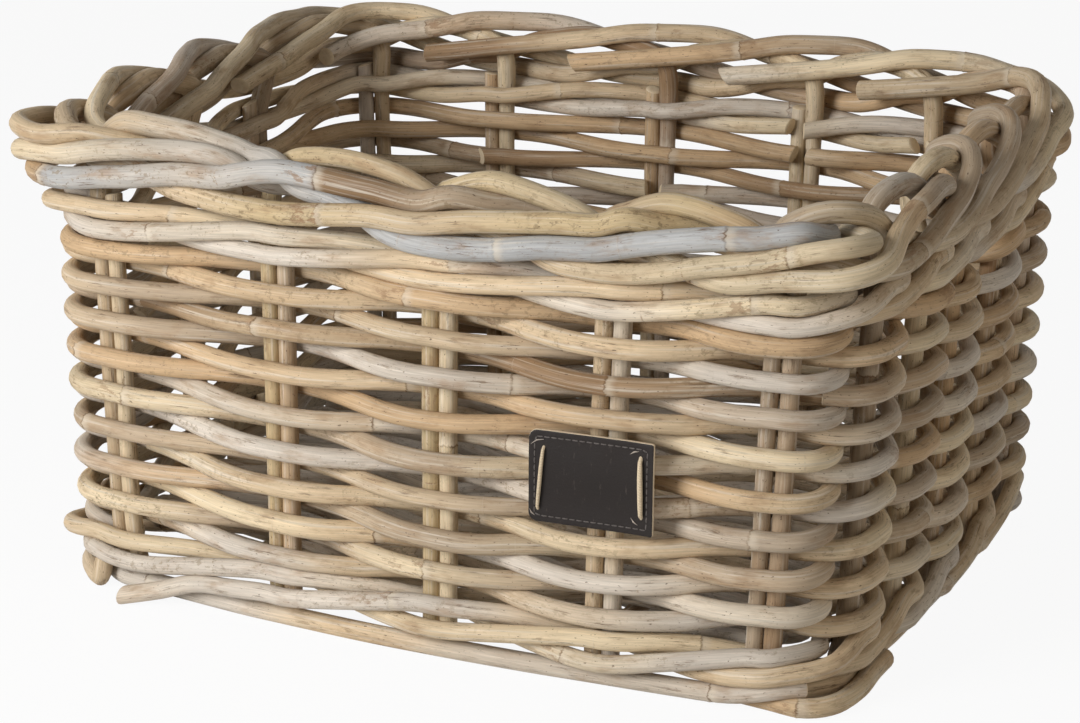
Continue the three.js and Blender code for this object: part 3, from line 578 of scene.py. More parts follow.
# Foot
# A rod along the front, one round the other sides whose end bends up at the left front corner, and a
# short low one at the right front corner. Each point is (column, out, height).
FOOT_RODS = [
    [(-0.3, -3, 9), (-0.05, 0.5, 8.5), (0.25, 1.5, 6), (0.7, 0.5, FOOT_RADIUS)]
    + [(column / 2, 0, FOOT_RADIUS) for column in range(2, 7)]
    + [(3.5, 2, 4.9), (3.9, 5.5, 6), (4.2, 8.5, 7.5), (4.31, 10, 8)],
    [(4.29, 4.5, 8.3), (4.7, 3.5, 7.5), (5.2, 2, 6), (6, 0.5, 5)]
    + [(column / 2, 0, FOOT_RADIUS) for column in range(13, 35)]
    + [(17.2, 0.5, 4.9), (17.5, 2.5, 4.8), (17.76, 6.5, 4.9), (17.87, 11, 5.6), (17.89, 11.8, 9.5),
       (17.87, 7.5, 13.5), (17.84, 0, 14.5)],
    [(3.8, -1, 4.7), (4.05, 5, 4.7), (4.3, 12, 4.7), (4.5, 14, 4.7), (4.75, 12.5, 4.7), (5.2, 8.5, 4.9),
     (5.5, 6.5, 5.3)],
]


def add_foot():
    for points in FOOT_RODS:
        path = spline([wall_point(column, 0, out, z) for column, out, z in points])
        add_rod("foot_rod", path, FOOT_RADIUS, give=0.15, stray=0.2)


# Base
# Three cross sticks, and a long rod that goes to and fro over and under them
BASE_STICK_SPACING = 98
BASE_STICK_RADIUS = 4.25
BASE_WEAVER_RADIUS = 4.2
BASE_PASSES = 27
BASE_INSET = 16.7


def base_edge():
    """Points of the base's edge on its front right quarter, with y towards the front."""
    edge = []
    for distance in np.linspace(0, PERIMETER / 4 + HALF_LENGTH_TOP - HALF_WIDTH_TOP, 400):
        x, y, nx, ny = outline(distance)
        x = x * HALF_LENGTH_FLOOR / HALF_LENGTH_TOP - nx * BASE_INSET
        y = y * HALF_WIDTH_FLOOR / HALF_WIDTH_TOP - ny * BASE_INSET
        if x >= 0 >= y:
            edge.append((x, -y))
    return np.array(edge)


def add_base():
    edge = base_edge()

    def reach_x(y):
        return np.interp(y, edge[::-1, 1], edge[::-1, 0]) - BASE_WEAVER_RADIUS

    def reach_y(x):
        return np.interp(x, edge[:, 0], edge[:, 1])

    sticks = [-BASE_STICK_SPACING, 0, BASE_STICK_SPACING]
    for i, x in enumerate(sticks):
        reach = reach_y(abs(x) + BASE_STICK_RADIUS)
        path = spline([(x, y, BASE_Z) for y in np.linspace(-reach, reach, 12)])
        add_rod(f"base_stick_{i + 1}", path, BASE_STICK_RADIUS, give=0.0)
    rise = BASE_STICK_RADIUS + BASE_WEAVER_RADIUS
    half_passes = (BASE_PASSES - 1) / 2
    pitch = (reach_y(BASE_STICK_SPACING) - 2 * BASE_WEAVER_RADIUS) / half_passes
    points = []
    for number in range(BASE_PASSES):
        y = (number - half_passes) * pitch
        direction = -1 if number % 2 else 1
        end = reach_x(abs(y) + BASE_WEAVER_RADIUS)
        points.append((-direction * end, y, BASE_Z))
        for stick in (0, 1, 2)[::direction]:
            over = 1 if (stick + number) % 2 else -1
            points.append((sticks[stick], y, BASE_Z + over * rise))
        points.append((direction * end, y, BASE_Z))
    add_rod("base_weaver", spline(points), BASE_WEAVER_RADIUS, give=0.6, stray=0.2)


# Settling
# Rods that run into each other are pushed apart, as they press on each other when woven. Only samples
# this near are looked at.
NEAR = 13.0
# A rod meets itself only at samples more than this many apart
OWN_SAMPLES = 8
# A push goes this share of the way, and less where a sample is pushed from many sides
PUSH_SHARE = 0.8
CROWDING = 0.7


def near_pairs(points, owner):
    tree = kdtree.KDTree(len(points))
    for i, point in enumerate(points):
        tree.insert(point, i)
    tree.balance()
    pairs = []
    for i, point in enumerate(points):
        for _, j, _ in tree.find_range(point, NEAR):
            if j > i and (owner[i] != owner[j] or j - i > OWN_SAMPLES):
                pairs.append((i, j))
    return np.array(pairs).T


def settle(rounds=30, look_again=10):
    points = np.concatenate([rod["path"] for rod in rods])
    radii = np.concatenate([rod["radius"] for rod in rods])
    give = np.concatenate([rod["give"] for rod in rods])
    owner = np.repeat(np.arange(len(rods)), [len(rod["path"]) for rod in rods])
    ends = np.cumsum([0] + [len(rod["path"]) for rod in rods])
    start = points.copy()
    for turn in range(rounds):
        if turn % look_again == 0:
            first, second = near_pairs(points, owner)
        apart = points[first] - points[second]
        distance = np.maximum(np.linalg.norm(apart, axis=1), 0.1)
        over = np.maximum(0, radii[first] + radii[second] - distance)
        push = apart / distance[:, None] * over[:, None]
        total = give[first] + give[second] + 1e-6
        move = np.zeros_like(points)
        np.add.at(move, first, push * (give[first] / total)[:, None])
        np.add.at(move, second, -push * (give[second] / total)[:, None])
        hits = np.bincount(first[over > 0], minlength=len(points))
        hits = hits + np.bincount(second[over > 0], minlength=len(points))
        points += PUSH_SHARE * move / np.maximum(1, hits)[:, None] ** CROWDING
        shift = points - start
        for a, b in zip(ends, ends[1:]):
            shift[a:b] = smooth(shift[a:b], 1)
        points = start + shift
        points[:, 2] = np.maximum(points[:, 2], radii)
    for rod, a, b in zip(rods, ends, ends[1:]):
        rod["path"] = points[a:b]


add_stakes()
add_rows()
add_hand_hole_weaver("hand_hole_weaver_front", LEFT_HOLE_COLUMN + 1 - COLUMNS, RIGHT_HOLE_COLUMN)
add_hand_hole_weaver("hand_hole_weaver_back", RIGHT_HOLE_COLUMN + 1, LEFT_HOLE_COLUMN)
add_wale("upper_wale_rod", UPPER_WALE_Z, first_start=9)
add_wale("lower_wale_rod", LOWER_WALE_Z, first_start=18, lead_in=LEAD_IN)
add_foot()
add_base()
settle()

# Meshes of rods
ROD_SIDES = 14
# An old leaf joint is a ring where the rod swells: steps along the rod, and how much it swells there
LEAF_STEPS = [-3.2, -1.4, -0.7, -0.2, 0.4, 1.1, 2.6]
LEAF_SWELL = [0, 0.01, 0.03, 0.045, 0.015, -0.01, 0]
LEAF_CLEARANCE = 3.4
FIRST_LEAF = (20, 220)
LEAF_PITCH = (150, 420)
LEAVES_APART = 60
LEAF_FROM_END = 8
# What the distance to an old leaf joint counts as where none is nearer
NO_LEAF = 50.0
# How far from round a rod's section is. This and its colour change with one swing in so many rings.
FLATNESS = 0.035
FLATNESS_SPAN = 25
TINT_SPAN = 22
SHADE_SPAN = 12
# A cut end's rings: their scale, and how far they stand out from the rod's last ring
CUT_RINGS = [(1.0, 0.0), (0.86, 0.5), (0.45, 0.6)]
CUT_BULGE = 0.6


def unit(vectors):
    return vectors / np.linalg.norm(vectors, axis=-1, keepdims=True)


def quads(first, rings, sides):
    """Faces between rings of points that follow each other, by the number of their first point."""
    faces = []
    for a in range(first, first + (rings - 1) * sides, sides):
        for j in range(sides):
            k = (j + 1) % sides
            faces.append((a + j, a + k, a + sides + k, a + sides + j))
    return faces


def add_object(name, data):
    obj = bpy.data.objects.new(name, data)
    bpy.context.scene.collection.objects.link(obj)
    return obj


def mesh_object(name, points, faces, materials, groups):
    mesh = bpy.data.meshes.new(name)
    mesh.from_pydata((np.array(points) * MM).tolist(), [], faces)
    for material in materials:
        mesh.materials.append(material)
    mesh.polygons.foreach_set("material_index", groups)
    mesh.polygons.foreach_set("use_smooth", [True] * len(faces))
    mesh.update()
    return add_object(name, mesh)


def leaf_places(along, joints, rng):
    """Where along a rod its old leaf joints are: at the given samples, and others at random."""
    leaves = [along[joint] for joint in joints]
    at = rng.uniform(*FIRST_LEAF)
    while at < along[-1] - LEAF_FROM_END:
        if all(abs(at - leaf) > LEAVES_APART for leaf in leaves):
            leaves.append(at)
        at += rng.uniform(*LEAF_PITCH)
    return leaves


def ring_axes(line):
    """Directions along a line and two ways across it, without a twist from point to point."""
    tangents = unit(np.gradient(line, axis=0))
    side = unit(np.cross(tangents[0], [0.3, 0.2, 0.93]))
    sides = []
    for tangent in tangents:
        side = unit(side - tangent * side.dot(tangent))
        sides.append(side)
    sides = np.array(sides)
    return tangents, sides, np.cross(sides, tangents)


def rod_colours(steps, along, rng, tints=None, colours=None, marks=None):
    """A colour for each step: between two tints, or by the given colours. Alpha is how marked it is."""
    if colours is None:
        if tints is None:
            tints = [TINTS[i] for i in rng.choice(len(TINTS), 2, p=TINT_SHARES, replace=False)]
        mix = np.clip(0.5 + 0.9 * wander(len(steps), rng, TINT_SPAN), 0, 1)[:, None]
        colours = tints[0] * (1 - mix) + tints[1] * mix
    else:
        colours = interpolate(steps, along, colours)
    colours = colours * (1 + 0.1 * wander(len(steps), rng, SHADE_SPAN)[:, None])
    marked = rng.uniform(0, 0.8) if marks is None else marks
    return np.concatenate([colours, np.full((len(steps), 1), marked)], axis=1)


class RodMesh:
    """Collects the tubes of one object.

    Its attributes steer the materials: grain is a place in the rod, leaf the distance to an old leaf
    joint, and tint the colour, whose alpha says how marked the skin is.
    """

    def __init__(self):
        self.points, self.grain, self.leaf, self.tint = [], [], [], []
        self.faces, self.cuts = [], []
        self.count = 0

    def keep(self, points, grain, leaf, tint, faces, cut):
        self.points.append(points.reshape(-1, 3))
        self.grain.append(grain.reshape(-1, 3))
        self.leaf.append(leaf)
        self.tint.append(tint)
        self.faces += faces
        self.cuts += [cut] * len(faces)
        self.count += len(leaf)

    def add(self, path, radius, rng, slants=(0.0, 0.0), joints=(), **look):
        along = lengths_along(path)
        leaves = leaf_places(along, joints, rng)
        steps = np.linspace(0, along[-1], max(3, round(along[-1] / SAMPLE_STEP) + 1))
        steps = [s for s in steps if all(abs(s - leaf) > LEAF_CLEARANCE for leaf in leaves)]
        steps = np.array(sorted(steps + [leaf + step for leaf in leaves for step in LEAF_STEPS]))
        steps = np.clip(steps, 0, along[-1])
        near = np.full(len(steps), NO_LEAF)
        for leaf in leaves:
            offset = steps - leaf
            near = np.where(np.abs(offset) < np.abs(near), offset, near)
        radii = np.interp(steps, along, radius) * (1 + np.interp(near, LEAF_STEPS, LEAF_SWELL))
        line = interpolate(steps, along, path)
        tangents, sides, ups = ring_axes(line)
        angles = np.arange(ROD_SIDES) * 2 * math.pi / ROD_SIDES
        cos, sin = np.cos(angles), np.sin(angles)
        flatness = FLATNESS * wander(len(steps), rng, FLATNESS_SPAN)
        turn = rng.uniform(0, 6)
        reach = radii[:, None] * (1 + flatness[:, None] * np.cos(2 * angles + turn))
        spokes = cos[:, None] * sides[:, None, :] + sin[:, None] * ups[:, None, :]
        rings = line[:, None, :] + reach[:, :, None] * spokes
        ends = ((0, -1), (-1, 1))
        for slant, (ring, direction) in zip(slants, ends):
            slope = slant * np.cos(angles + turn)
            rings[ring] += direction * tangents[ring] * (slope * radii[ring])[:, None]
        grain = np.zeros_like(rings)
        grain[:, :, 0] = radii[:, None] * cos + rng.uniform(0, 900)
        grain[:, :, 1] = radii[:, None] * sin
        grain[:, :, 2] = steps[:, None]
        colours = rod_colours(steps, along, rng, **look)
        leaf, tint = np.repeat(near, ROD_SIDES), np.repeat(colours, ROD_SIDES, axis=0)
        self.keep(rings, grain, leaf, tint, quads(self.count, len(steps), ROD_SIDES), 0)
        for ring, direction in ends:
            self.add_cap(rings[ring], tangents[ring], direction, grain[ring], colours[ring])

    def add_cap(self, ring, tangent, direction, grain, colour):
        """A cut end: a ring of its own, a small bevel, and a slightly rough face."""
        centre, middle = ring.mean(axis=0), grain.mean(axis=0)
        out = tangent * direction
        points = [centre + (ring - centre) * scale + out * lift for scale, lift in CUT_RINGS]
        grains = [middle + (grain - middle) * scale for scale, lift in CUT_RINGS]
        inner = self.count + 2 * ROD_SIDES
        tip = inner + ROD_SIDES
        faces = quads(self.count, 3, ROD_SIDES)
        faces += [(inner + j, inner + (j + 1) % ROD_SIDES, tip) for j in range(ROD_SIDES)]
        count = 3 * ROD_SIDES + 1
        self.keep(
            np.concatenate([*points, [centre + out * CUT_BULGE]]),
            np.concatenate([*grains, [middle]]),
            np.full(count, NO_LEAF),
            np.tile(colour, (count, 1)),
            [face[::direction] for face in faces],
            1,
        )

    def make(self, name, materials):
        obj = mesh_object(name, np.concatenate(self.points), self.faces, materials, self.cuts)
        for label, kind, field, values in (
            ("grain", "FLOAT_VECTOR", "vector", self.grain),
            ("leaf", "FLOAT", "value", self.leaf),
            ("tint", "FLOAT_COLOR", "color", self.tint),
        ):
            attribute = obj.data.attributes.new(label, kind, "POINT")
            attribute.data.foreach_set(field, np.concatenate(values).ravel())
        return obj


# Materials
def new_material(name):
    material = bpy.data.materials.new(name)
    material.use_nodes = True
    tree = material.node_tree
    return material, tree, tree.nodes["Principled BSDF"]


def feed(tree, node, inputs):
    """Puts values or links on a node's inputs."""
    for key, value in inputs.items():
        if isinstance(value, bpy.types.NodeSocket):
            tree.links.new(value, node.inputs[key])
        else:
            node.inputs[key].default_value = value


def add_node(tree, kind, inputs=None, **settings):
    node = tree.nodes.new(kind)
    for key, value in settings.items():
        setattr(node, key, value)
    feed(tree, node, inputs or {})
    return node


def read(tree, attribute, output):
    return add_node(tree, "ShaderNodeAttribute", attribute_name=attribute).outputs[output]


def stretch(tree, vector, scale):
    mapping = add_node(tree, "ShaderNodeMapping", {"Vector": vector, "Scale": scale})
    return mapping.outputs[0]


def noise(tree, vector, scale, detail=3.0, roughness=0.55):
    """Noise over a vector that is first stretched by a scale for each axis."""
    return add_node(tree, "ShaderNodeTexNoise", {
        "Vector": stretch(tree, vector, scale), "Scale": 1.0, "Detail": detail, "Roughness": roughness,
    }).outputs["Fac"]


def remap(tree, value, low, high, to_low=0.0, to_high=1.0, kind="SMOOTHSTEP"):
    return add_node(tree, "ShaderNodeMapRange", {
        "Value": value, "From Min": low, "From Max": high, "To Min": to_low, "To Max": to_high,
    }, interpolation_type=kind).outputs["Result"]


def calculate(tree, kind, *values):
    return add_node(tree, "ShaderNodeMath", dict(enumerate(values)), operation=kind).outputs[0]


def multiply(tree, value, *others):
    for other in others:
        value = calculate(tree, "MULTIPLY", value, other)
    return value


def blend(tree, amount, first, second, kind="MIX"):
    inputs = {0: amount, 6: first, 7: second}
    return add_node(tree, "ShaderNodeMix", inputs, data_type="RGBA", blend_type=kind).outputs[2]


def paint(tree, colour, layers):
    """Lays colours over a colour, each as far as its amount says."""
    for amount, layer in layers:
        colour = blend(tree, amount, colour, (*linear(*layer), 1))
    return colour


def shade(tree, colour, value):
    grey = add_node(tree, "ShaderNodeCombineColor", {0: value, 1: value, 2: value})
    return blend(tree, 1.0, colour, grey.outputs[0], "MULTIPLY")


def bump(tree, height, strength, distance):
    inputs = {"Height": height, "Strength": strength, "Distance": distance}
    return add_node(tree, "ShaderNodeBump", inputs).outputs[0]


def rattan_skin():
    """The rod's skin: fibres, streaks, stains, cracks, specks and dark rings at old leaf joints."""
    material, tree, shader = new_material("rattan_skin")
    grain = read(tree, "grain", "Vector")
    leaf = read(tree, "leaf", "Fac")
    marks = read(tree, "tint", "Alpha")
    fibres = noise(tree, grain, (1.5, 1.5, 0.05), 4.0)
    streaks = noise(tree, grain, (0.55, 0.55, 0.014))
    stains = noise(tree, grain, (0.11, 0.11, 0.035), 4.0, 0.65)
    specks = noise(tree, grain, (1.1, 1.1, 0.45), 2.0)
    patches = noise(tree, grain, (0.3, 0.3, 0.06), 5.0, 0.7)
    colour = paint(tree, read(tree, "tint", "Color"), [
        (remap(tree, streaks, 0.5, 0.72, 0.0, 0.5), (222, 214, 200)),
        (remap(tree, stains, 0.5, 0.7, 0.0, 0.5), (156, 124, 90)),
        (remap(tree, patches, 0.6, 0.68, 0.0, 0.5), (126, 102, 76)),
    ])
    colour = shade(tree, colour, remap(tree, fibres, 0.3, 0.7, 0.8, 1.1, "LINEAR"))

    # Mossy blotches, and fine cracks along the grain
    blotches = remap(tree, noise(tree, grain, (0.34, 0.34, 0.26), 4.0, 0.7), 0.55, 0.62)
    where = remap(tree, noise(tree, grain, (0.02, 0.02, 0.014), 2.0), 0.44, 0.6)
    split = calculate(tree, "SUBTRACT", noise(tree, grain, (0.8, 0.8, 0.012), 2.0), 0.5)
    split = remap(tree, calculate(tree, "ABSOLUTE", split), 0.004, 0.016, 1.0, 0.0)
    split = multiply(tree, split, remap(tree, patches, 0.5, 0.62))

    # Torn bark beside an old leaf joint
    torn = remap(tree, noise(tree, grain, (0.26, 0.26, 0.11), 5.0, 0.75), 0.53, 0.57)
    near_joint = calculate(tree, "ABSOLUTE", calculate(tree, "ADD", leaf, 5.0))
    torn = multiply(tree, torn, remap(tree, near_joint, 3.0, 17.0, 1.0, 0.0), marks)

    # Old leaf joints: a dark ragged ring with a pale collar
    from_joint = calculate(tree, "ADD", leaf, remap(tree, patches, 0.3, 0.7, -1.2, 0.6))
    collar = remap(tree, from_joint, 0.0, 0.5)
    collar = multiply(tree, collar, remap(tree, from_joint, 1.5, 6.0, 1.0, 0.0), 0.45)
    ring = remap(tree, calculate(tree, "ABSOLUTE", from_joint), 0.1, 0.7, 1.0, 0.0)
    ring = multiply(tree, ring, remap(tree, stains, 0.38, 0.6, 0.0, 0.75))

    colour = paint(tree, colour, [
        (multiply(tree, blotches, where, marks, 0.7), (132, 112, 82)),
        (multiply(tree, split, 0.7), (92, 68, 48)),
        (remap(tree, specks, 0.67, 0.74, 0.0, 0.8), (84, 62, 42)),
        (multiply(tree, torn, 0.8), (148, 116, 86)),
        (collar, (216, 204, 184)),
        (ring, (112, 86, 60)),
    ])
    height = multiply(tree, fibres, 0.6)
    for part, share in ((patches, 0.9), (ring, -0.4), (split, -0.5), (torn, 0.5)):
        height = calculate(tree, "ADD", height, multiply(tree, part, share))
    feed(tree, shader, {
        "Base Color": colour,
        "Normal": bump(tree, height, 0.5, 0.0005),
        "Roughness": remap(tree, stains, 0.3, 0.7, 0.58, 0.8),
        "Specular IOR Level": 0.3,
    })
    return material


def mottled(tree, amount, first, second):
    """A colour between two others."""
    return blend(tree, amount, (*linear(*first), 1), (*linear(*second), 1))


def rattan_cut():
    """A cut end: pale pith with the pores that rattan shows."""
    material, tree, shader = new_material("rattan_cut")
    grain = read(tree, "grain", "Vector")
    inputs = {"Vector": stretch(tree, grain, (1.6, 1.6, 0.2)), "Scale": 1.0}
    pores = add_node(tree, "ShaderNodeTexVoronoi", inputs).outputs["Distance"]
    pith = mottled(tree, noise(tree, grain, (0.4, 0.4, 0.4)), (238, 224, 196), (206, 182, 146))
    dots = remap(tree, pores, 0.04, 0.2)
    feed(tree, shader, {
        "Base Color": blend(tree, dots, (*linear(150, 120, 84), 1), pith),
        "Normal": bump(tree, dots, 0.5, 0.0004),
        "Roughness": 0.85,
    })
    return material


SKIN = rattan_skin()
CUT = rattan_cut()


def finish_piece(obj, node):
    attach(obj, "root")
    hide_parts(node)


# How many samples at the end of a spliced length go inwards behind the next one, and how far
SPLICE_END = 3
SPLICE_INWARD = (1.5, 5)
RADIUS_FACTORS = (0.95, 1.05)


def splice_places(rod, rng):
    """The samples of a rod at which one weaver ends behind a stake and the next begins."""
    first, period = rod["weaving"]
    last = len(rod["path"]) - 1
    places = [0]
    at = period * rng.integers(2, 4)
    while at < COLUMNS - 3:
        share = (distance_at(first + at) - distance_at(first)) / PERIMETER
        places.append(round(share * last))
        at += period * rng.integers(2, 4)
    return places + [last]


def pieces_of(rod, rng):
    """The rod's middle line and radius, cut into the lengths that it was woven from."""
    if not rod["weaving"]:
        return [(rod["path"], rod["radius"])]
    places = splice_places(rod, rng)
    pieces = []
    for start, end in zip(places, places[1:]):
        part = slice(start, min(end + 3, len(rod["path"])))
        path = rod["path"][part].copy()
        inward = unit(path[-SPLICE_END:, :2])
        path[-SPLICE_END:, :2] -= inward * np.linspace(*SPLICE_INWARD, SPLICE_END)[:, None]
        pieces.append((path, rod["radius"][part] * rng.uniform(*RADIUS_FACTORS)))
    return pieces


def make_rods():
    by_node = {}
    for rod in rods:
        by_node.setdefault(rod["node"], []).append(rod)
    for number, (node, members) in enumerate(by_node.items()):
        rng = np.random.default_rng(number + 1)
        mesh = RodMesh()
        for rod in members:
            for path, radius in pieces_of(rod, rng):
                mesh.add(path, radius, rng, rng.uniform(-0.6, 0.6, 2), **rod["look"])
        finish_piece(mesh.make(node + "_rod", [SKIN, CUT]), node)


make_rods()

# Leather tag and its lace
# Its places are given across the tag, up it, and out from the wall
TAG_HALF_WIDTH = 30.25
TAG_HALF_HEIGHT = 22.25
TAG_COLUMN = 3
TAG_PAST_STAKES = -3
TAG_BACK_OUT = 13.5
TAG_MIDDLE_Z = 105
TAG_LEAN = 0.005
# Each corner of the tag: its side, its end and its radius
TAG_CORNERS = [(1, -1, 1.2), (1, 1, 1.2), (-1, 1, 4.5), (-1, -1, 4.5)]
ARC_POINTS = 9
SIDE_POINTS = 31
TAG_POINTS = 4 * (ARC_POINTS + SIDE_POINTS)
# Rings of the tag from its back to its face's middle, as (inset, out). The first ones are its edge.
TAG_RINGS = [(0.25, 0), (0, 0.3), (0, 1.5), (0.15, 1.85), (0.5, 2.0), (1, 2.03)]
TAG_RINGS += [(inset, 2.03) for inset in (1.8, 2.6, 3.6, 5, 7, 9, 11, 13, 15, 17, 19, 21, 22)]
EDGE_BANDS = 3
STITCH_PITCH = 3.4
STITCH_INSET = 3.1
STITCH_RADIUS = 0.32
# A stitch's part of its pitch, and how far out it is there
STITCH = [(0.26, 1.95), (0.34, 2.15), (0.5, 2.22), (0.66, 2.15), (0.74, 1.95)]
THREAD_COLOUR = linear(88, 81, 77)
# Torn edges of the holes that the lace goes through, pale partly from the raw leather and partly as a
# painted glint of light on them: where each starts, bulges and ends
HOLE_EDGES_AND_GLINTS = [
    [(-28.6, 15.4), (-26, 17.4), (-23.4, 17.8)], [(-29.2, -17), (-28.4, -18.4), (-27.4, -19)],
    [(19.2, 16.6), (20.8, 17.7), (22.4, 18)], [(19.8, -14.6), (21, -16.2), (22.4, -17)],
]
HOLE_EDGE_RADIUS = 0.36
# Colour of the holes' edges: raw leather with a painted glint of light on it
HOLE_EDGE_AND_GLINT_COLOUR = linear(176, 164, 152)
# The lace's two stitches: top, bottom and half its width. Then a stitch's parts and how far out each is.
LACE_ENDS = [((-22.6, 15.6), (-25.6, -17.2), 0.95), ((23.9, 16.2), (24.6, -14.8), 1.3)]
LACE = [(0, 0.6), (0.01, 1.8), (0.05, 2.9), (0.3, 3.4), (0.6, 3.4), (0.95, 2.9), (0.99, 1.8), (1, 0.6)]
LACE_BEHIND = [(-25.6, -17.2), (-20, -17.6), (0, -17.2), (20, -15.2), (24.6, -14.8)]
LACE_BEHIND_RADIUS = 0.9
LACE_COLOUR = linear(228, 208, 176)


def tag_bend(x, y):
    """How far the leather stands off the rods: it rides over them, and its right edge curls out."""
    ride = 0.35 * math.sin(y / 5.9 + 0.6) * (1 - abs(x) / 60)
    curl = 1.1 * max(0, (x - 12) / 18) ** 2
    return ride + curl


def tag_point(x, y, out):
    """A point of the tag's own frame, in the basket's."""
    origin = wall_point(TAG_COLUMN, TAG_PAST_STAKES, TAG_BACK_OUT, TAG_MIDDLE_Z)
    nx, ny = outline(distance_at(TAG_COLUMN))[2:]
    out += tag_bend(x, y) + y * TAG_LEAN
    return origin + np.array([-ny * x + nx * out, nx * x + ny * out, y])


def tag_edge(inset):
    """The tag's outline moved in by an inset."""
    half_width, half_height = TAG_HALF_WIDTH - inset, TAG_HALF_HEIGHT - inset
    corners = []
    for corner, (sx, sy, radius) in enumerate(TAG_CORNERS):
        radius = min(max(radius - inset, 0.2), half_height)
        angles = QUARTER * (corner - 1 + np.arange(ARC_POINTS) / (ARC_POINTS - 1))
        middle = (sx * (half_width - radius), sy * (half_height - radius))
        corners.append(middle + radius * np.stack([np.cos(angles), np.sin(angles)], axis=1))
    edge = []
    for corner, after in zip(corners, corners[1:] + corners[:1]):
        edge += [*corner, *np.linspace(corner[-1], after[0], SIDE_POINTS + 2)[1:-1]]
    return edge


def make_tag():
    points = [tag_point(x, y, out) for inset, out in TAG_RINGS for x, y in tag_edge(inset)]
    faces = quads(0, len(TAG_RINGS), TAG_POINTS)
    groups = [1 if i < EDGE_BANDS * TAG_POINTS else 0 for i in range(len(faces))]
    faces.append(tuple(range(len(points) - TAG_POINTS, len(points))))
    faces.append(tuple(range(TAG_POINTS))[::-1])
    tag = mesh_object("leather_tag_plate", points, faces, [leather(), raw_edge()], groups + [0, 1])
    finish_piece(tag, "leather_tag")


def rounded(path, end, power=1):
    """A factor for the radius along a path that tapers at both ends."""
    return np.sin(np.linspace(end, math.pi - end, len(path))) ** power


def make_stitches():
    """Thread round the tag's edge, sunk a little into the leather."""
    mesh = RodMesh()
    rng = np.random.default_rng(5)
    edge = [(x, y, 0) for x, y in tag_edge(STITCH_INSET)]
    places = even_steps(np.array(edge + edge[:1]), STITCH_PITCH)[:-1, :2]
    radius = np.full(len(STITCH), STITCH_RADIUS)
    for here, after in zip(places, np.roll(places, -1, axis=0)):
        path = [tag_point(*(here + (after - here) * part), out) for part, out in STITCH]
        mesh.add(np.array(path), radius, rng, tints=(THREAD_COLOUR, THREAD_COLOUR))
    # The holes' torn edges: pale raw leather with a painted glint of light on them
    for edge in HOLE_EDGES_AND_GLINTS:
        path = spline([tag_point(x, y, 2.1) for x, y in edge], 0.6)
        radius = HOLE_EDGE_RADIUS * rounded(path, 0.3)
        mesh.add(path, radius, rng, tints=(HOLE_EDGE_AND_GLINT_COLOUR, HOLE_EDGE_AND_GLINT_COLOUR))
    obj = mesh.make("leather_tag_stitches", [twisted("tag_thread", 0.6, 0.4, 0.5)])
    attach(obj, "root")


def make_lace():
    """The lace's two stitches through the tag, and the length between them behind it."""
    mesh = RodMesh()
    rng = np.random.default_rng(9)
    for (x0, y0), (x1, y1), width in LACE_ENDS:
        path = [tag_point(x0 + (x1 - x0) * part, y0 + (y1 - y0) * part, out) for part, out in LACE]
        path = spline(path, 0.8)
        mesh.add(path, width * rounded(path, 0.35, 0.4), rng, tints=(LACE_COLOUR, LACE_COLOUR))
    path = spline([tag_point(x, y, -0.7 if abs(x) < 24 else 0.5) for x, y in LACE_BEHIND], 1.5)
    radius = np.full(len(path), LACE_BEHIND_RADIUS)
    mesh.add(path, radius, rng, tints=(LACE_COLOUR, LACE_COLOUR))
    lace = mesh.make("tag_lace", [twisted("tag_lace_cotton", 0.7, 0.8, 0.9)])
    finish_piece(lace, "tag_cord")


def leather():
    material, tree, shader = new_material("tag_leather")
    place = add_node(tree, "ShaderNodeTexCoord").outputs["Object"]
    inputs = {"Vector": place, "Scale": 1100.0}
    grain = add_node(tree, "ShaderNodeTexVoronoi", inputs, feature="SMOOTH_F1").outputs["Distance"]
    cloud = noise(tree, place, (60, 60, 60), 4.0)
    scuffs = remap(tree, noise(tree, place, (500, 500, 120), 5.0, 0.7), 0.6, 0.72, 0.0, 0.5)
    dye = mottled(tree, cloud, (22, 16, 13), (31, 24, 21))
    height = calculate(tree, "ADD", grain, multiply(tree, cloud, 2.0))
    feed(tree, shader, {
        "Base Color": paint(tree, dye, [(scuffs, (78, 69, 64))]),
        "Normal": bump(tree, height, 0.35, 0.0003),
        "Roughness": remap(tree, cloud, 0.3, 0.7, 0.5, 0.66),
        "Specular IOR Level": 0.27,
    })
    return material


def raw_edge():
    material, tree, shader = new_material("tag_raw_edge")
    place = add_node(tree, "ShaderNodeTexCoord").outputs["Object"]
    fibre = noise(tree, place, (900, 900, 2500), 4.0)
    feed(tree, shader, {
        "Base Color": mottled(tree, fibre, (196, 178, 150), (228, 214, 190)),
        "Normal": bump(tree, fibre, 0.5, 0.0002),
        "Roughness": 0.95,
    })
    return material


def twisted(name, tilt, strength, roughness):
    """A twisted thread: slanting raised bands round its length, with painted shade in the grooves
    between them.
    """
    material, tree, shader = new_material(name)
    grain = read(tree, "grain", "Vector")
    fuzz = noise(tree, grain, (5, 5, 3.0), 4.0)
    slanted = add_node(tree, "ShaderNodeMapping", {"Vector": grain, "Rotation": (tilt, 0, 0)})
    inputs = {"Vector": slanted.outputs[0], "Scale": 0.55, "Distortion": 1.0}
    wave = add_node(tree, "ShaderNodeTexWave", inputs, bands_direction="Z").outputs["Fac"]
    # Painted shade: the colour darkens where the wave is low, in the grooves that the bump makes
    groove_shade = remap(tree, wave, 0.0, 1.0, 0.72, 1.06, "LINEAR")
    height = calculate(tree, "ADD", wave, multiply(tree, fuzz, 0.8))
    feed(tree, shader, {
        "Base Color": shade(tree, read(tree, "tint", "Color"), groove_shade),
        "Normal": bump(tree, height, strength, 0.0003),
        "Roughness": roughness,
    })
    return material


make_tag()
make_stitches()
make_lace()

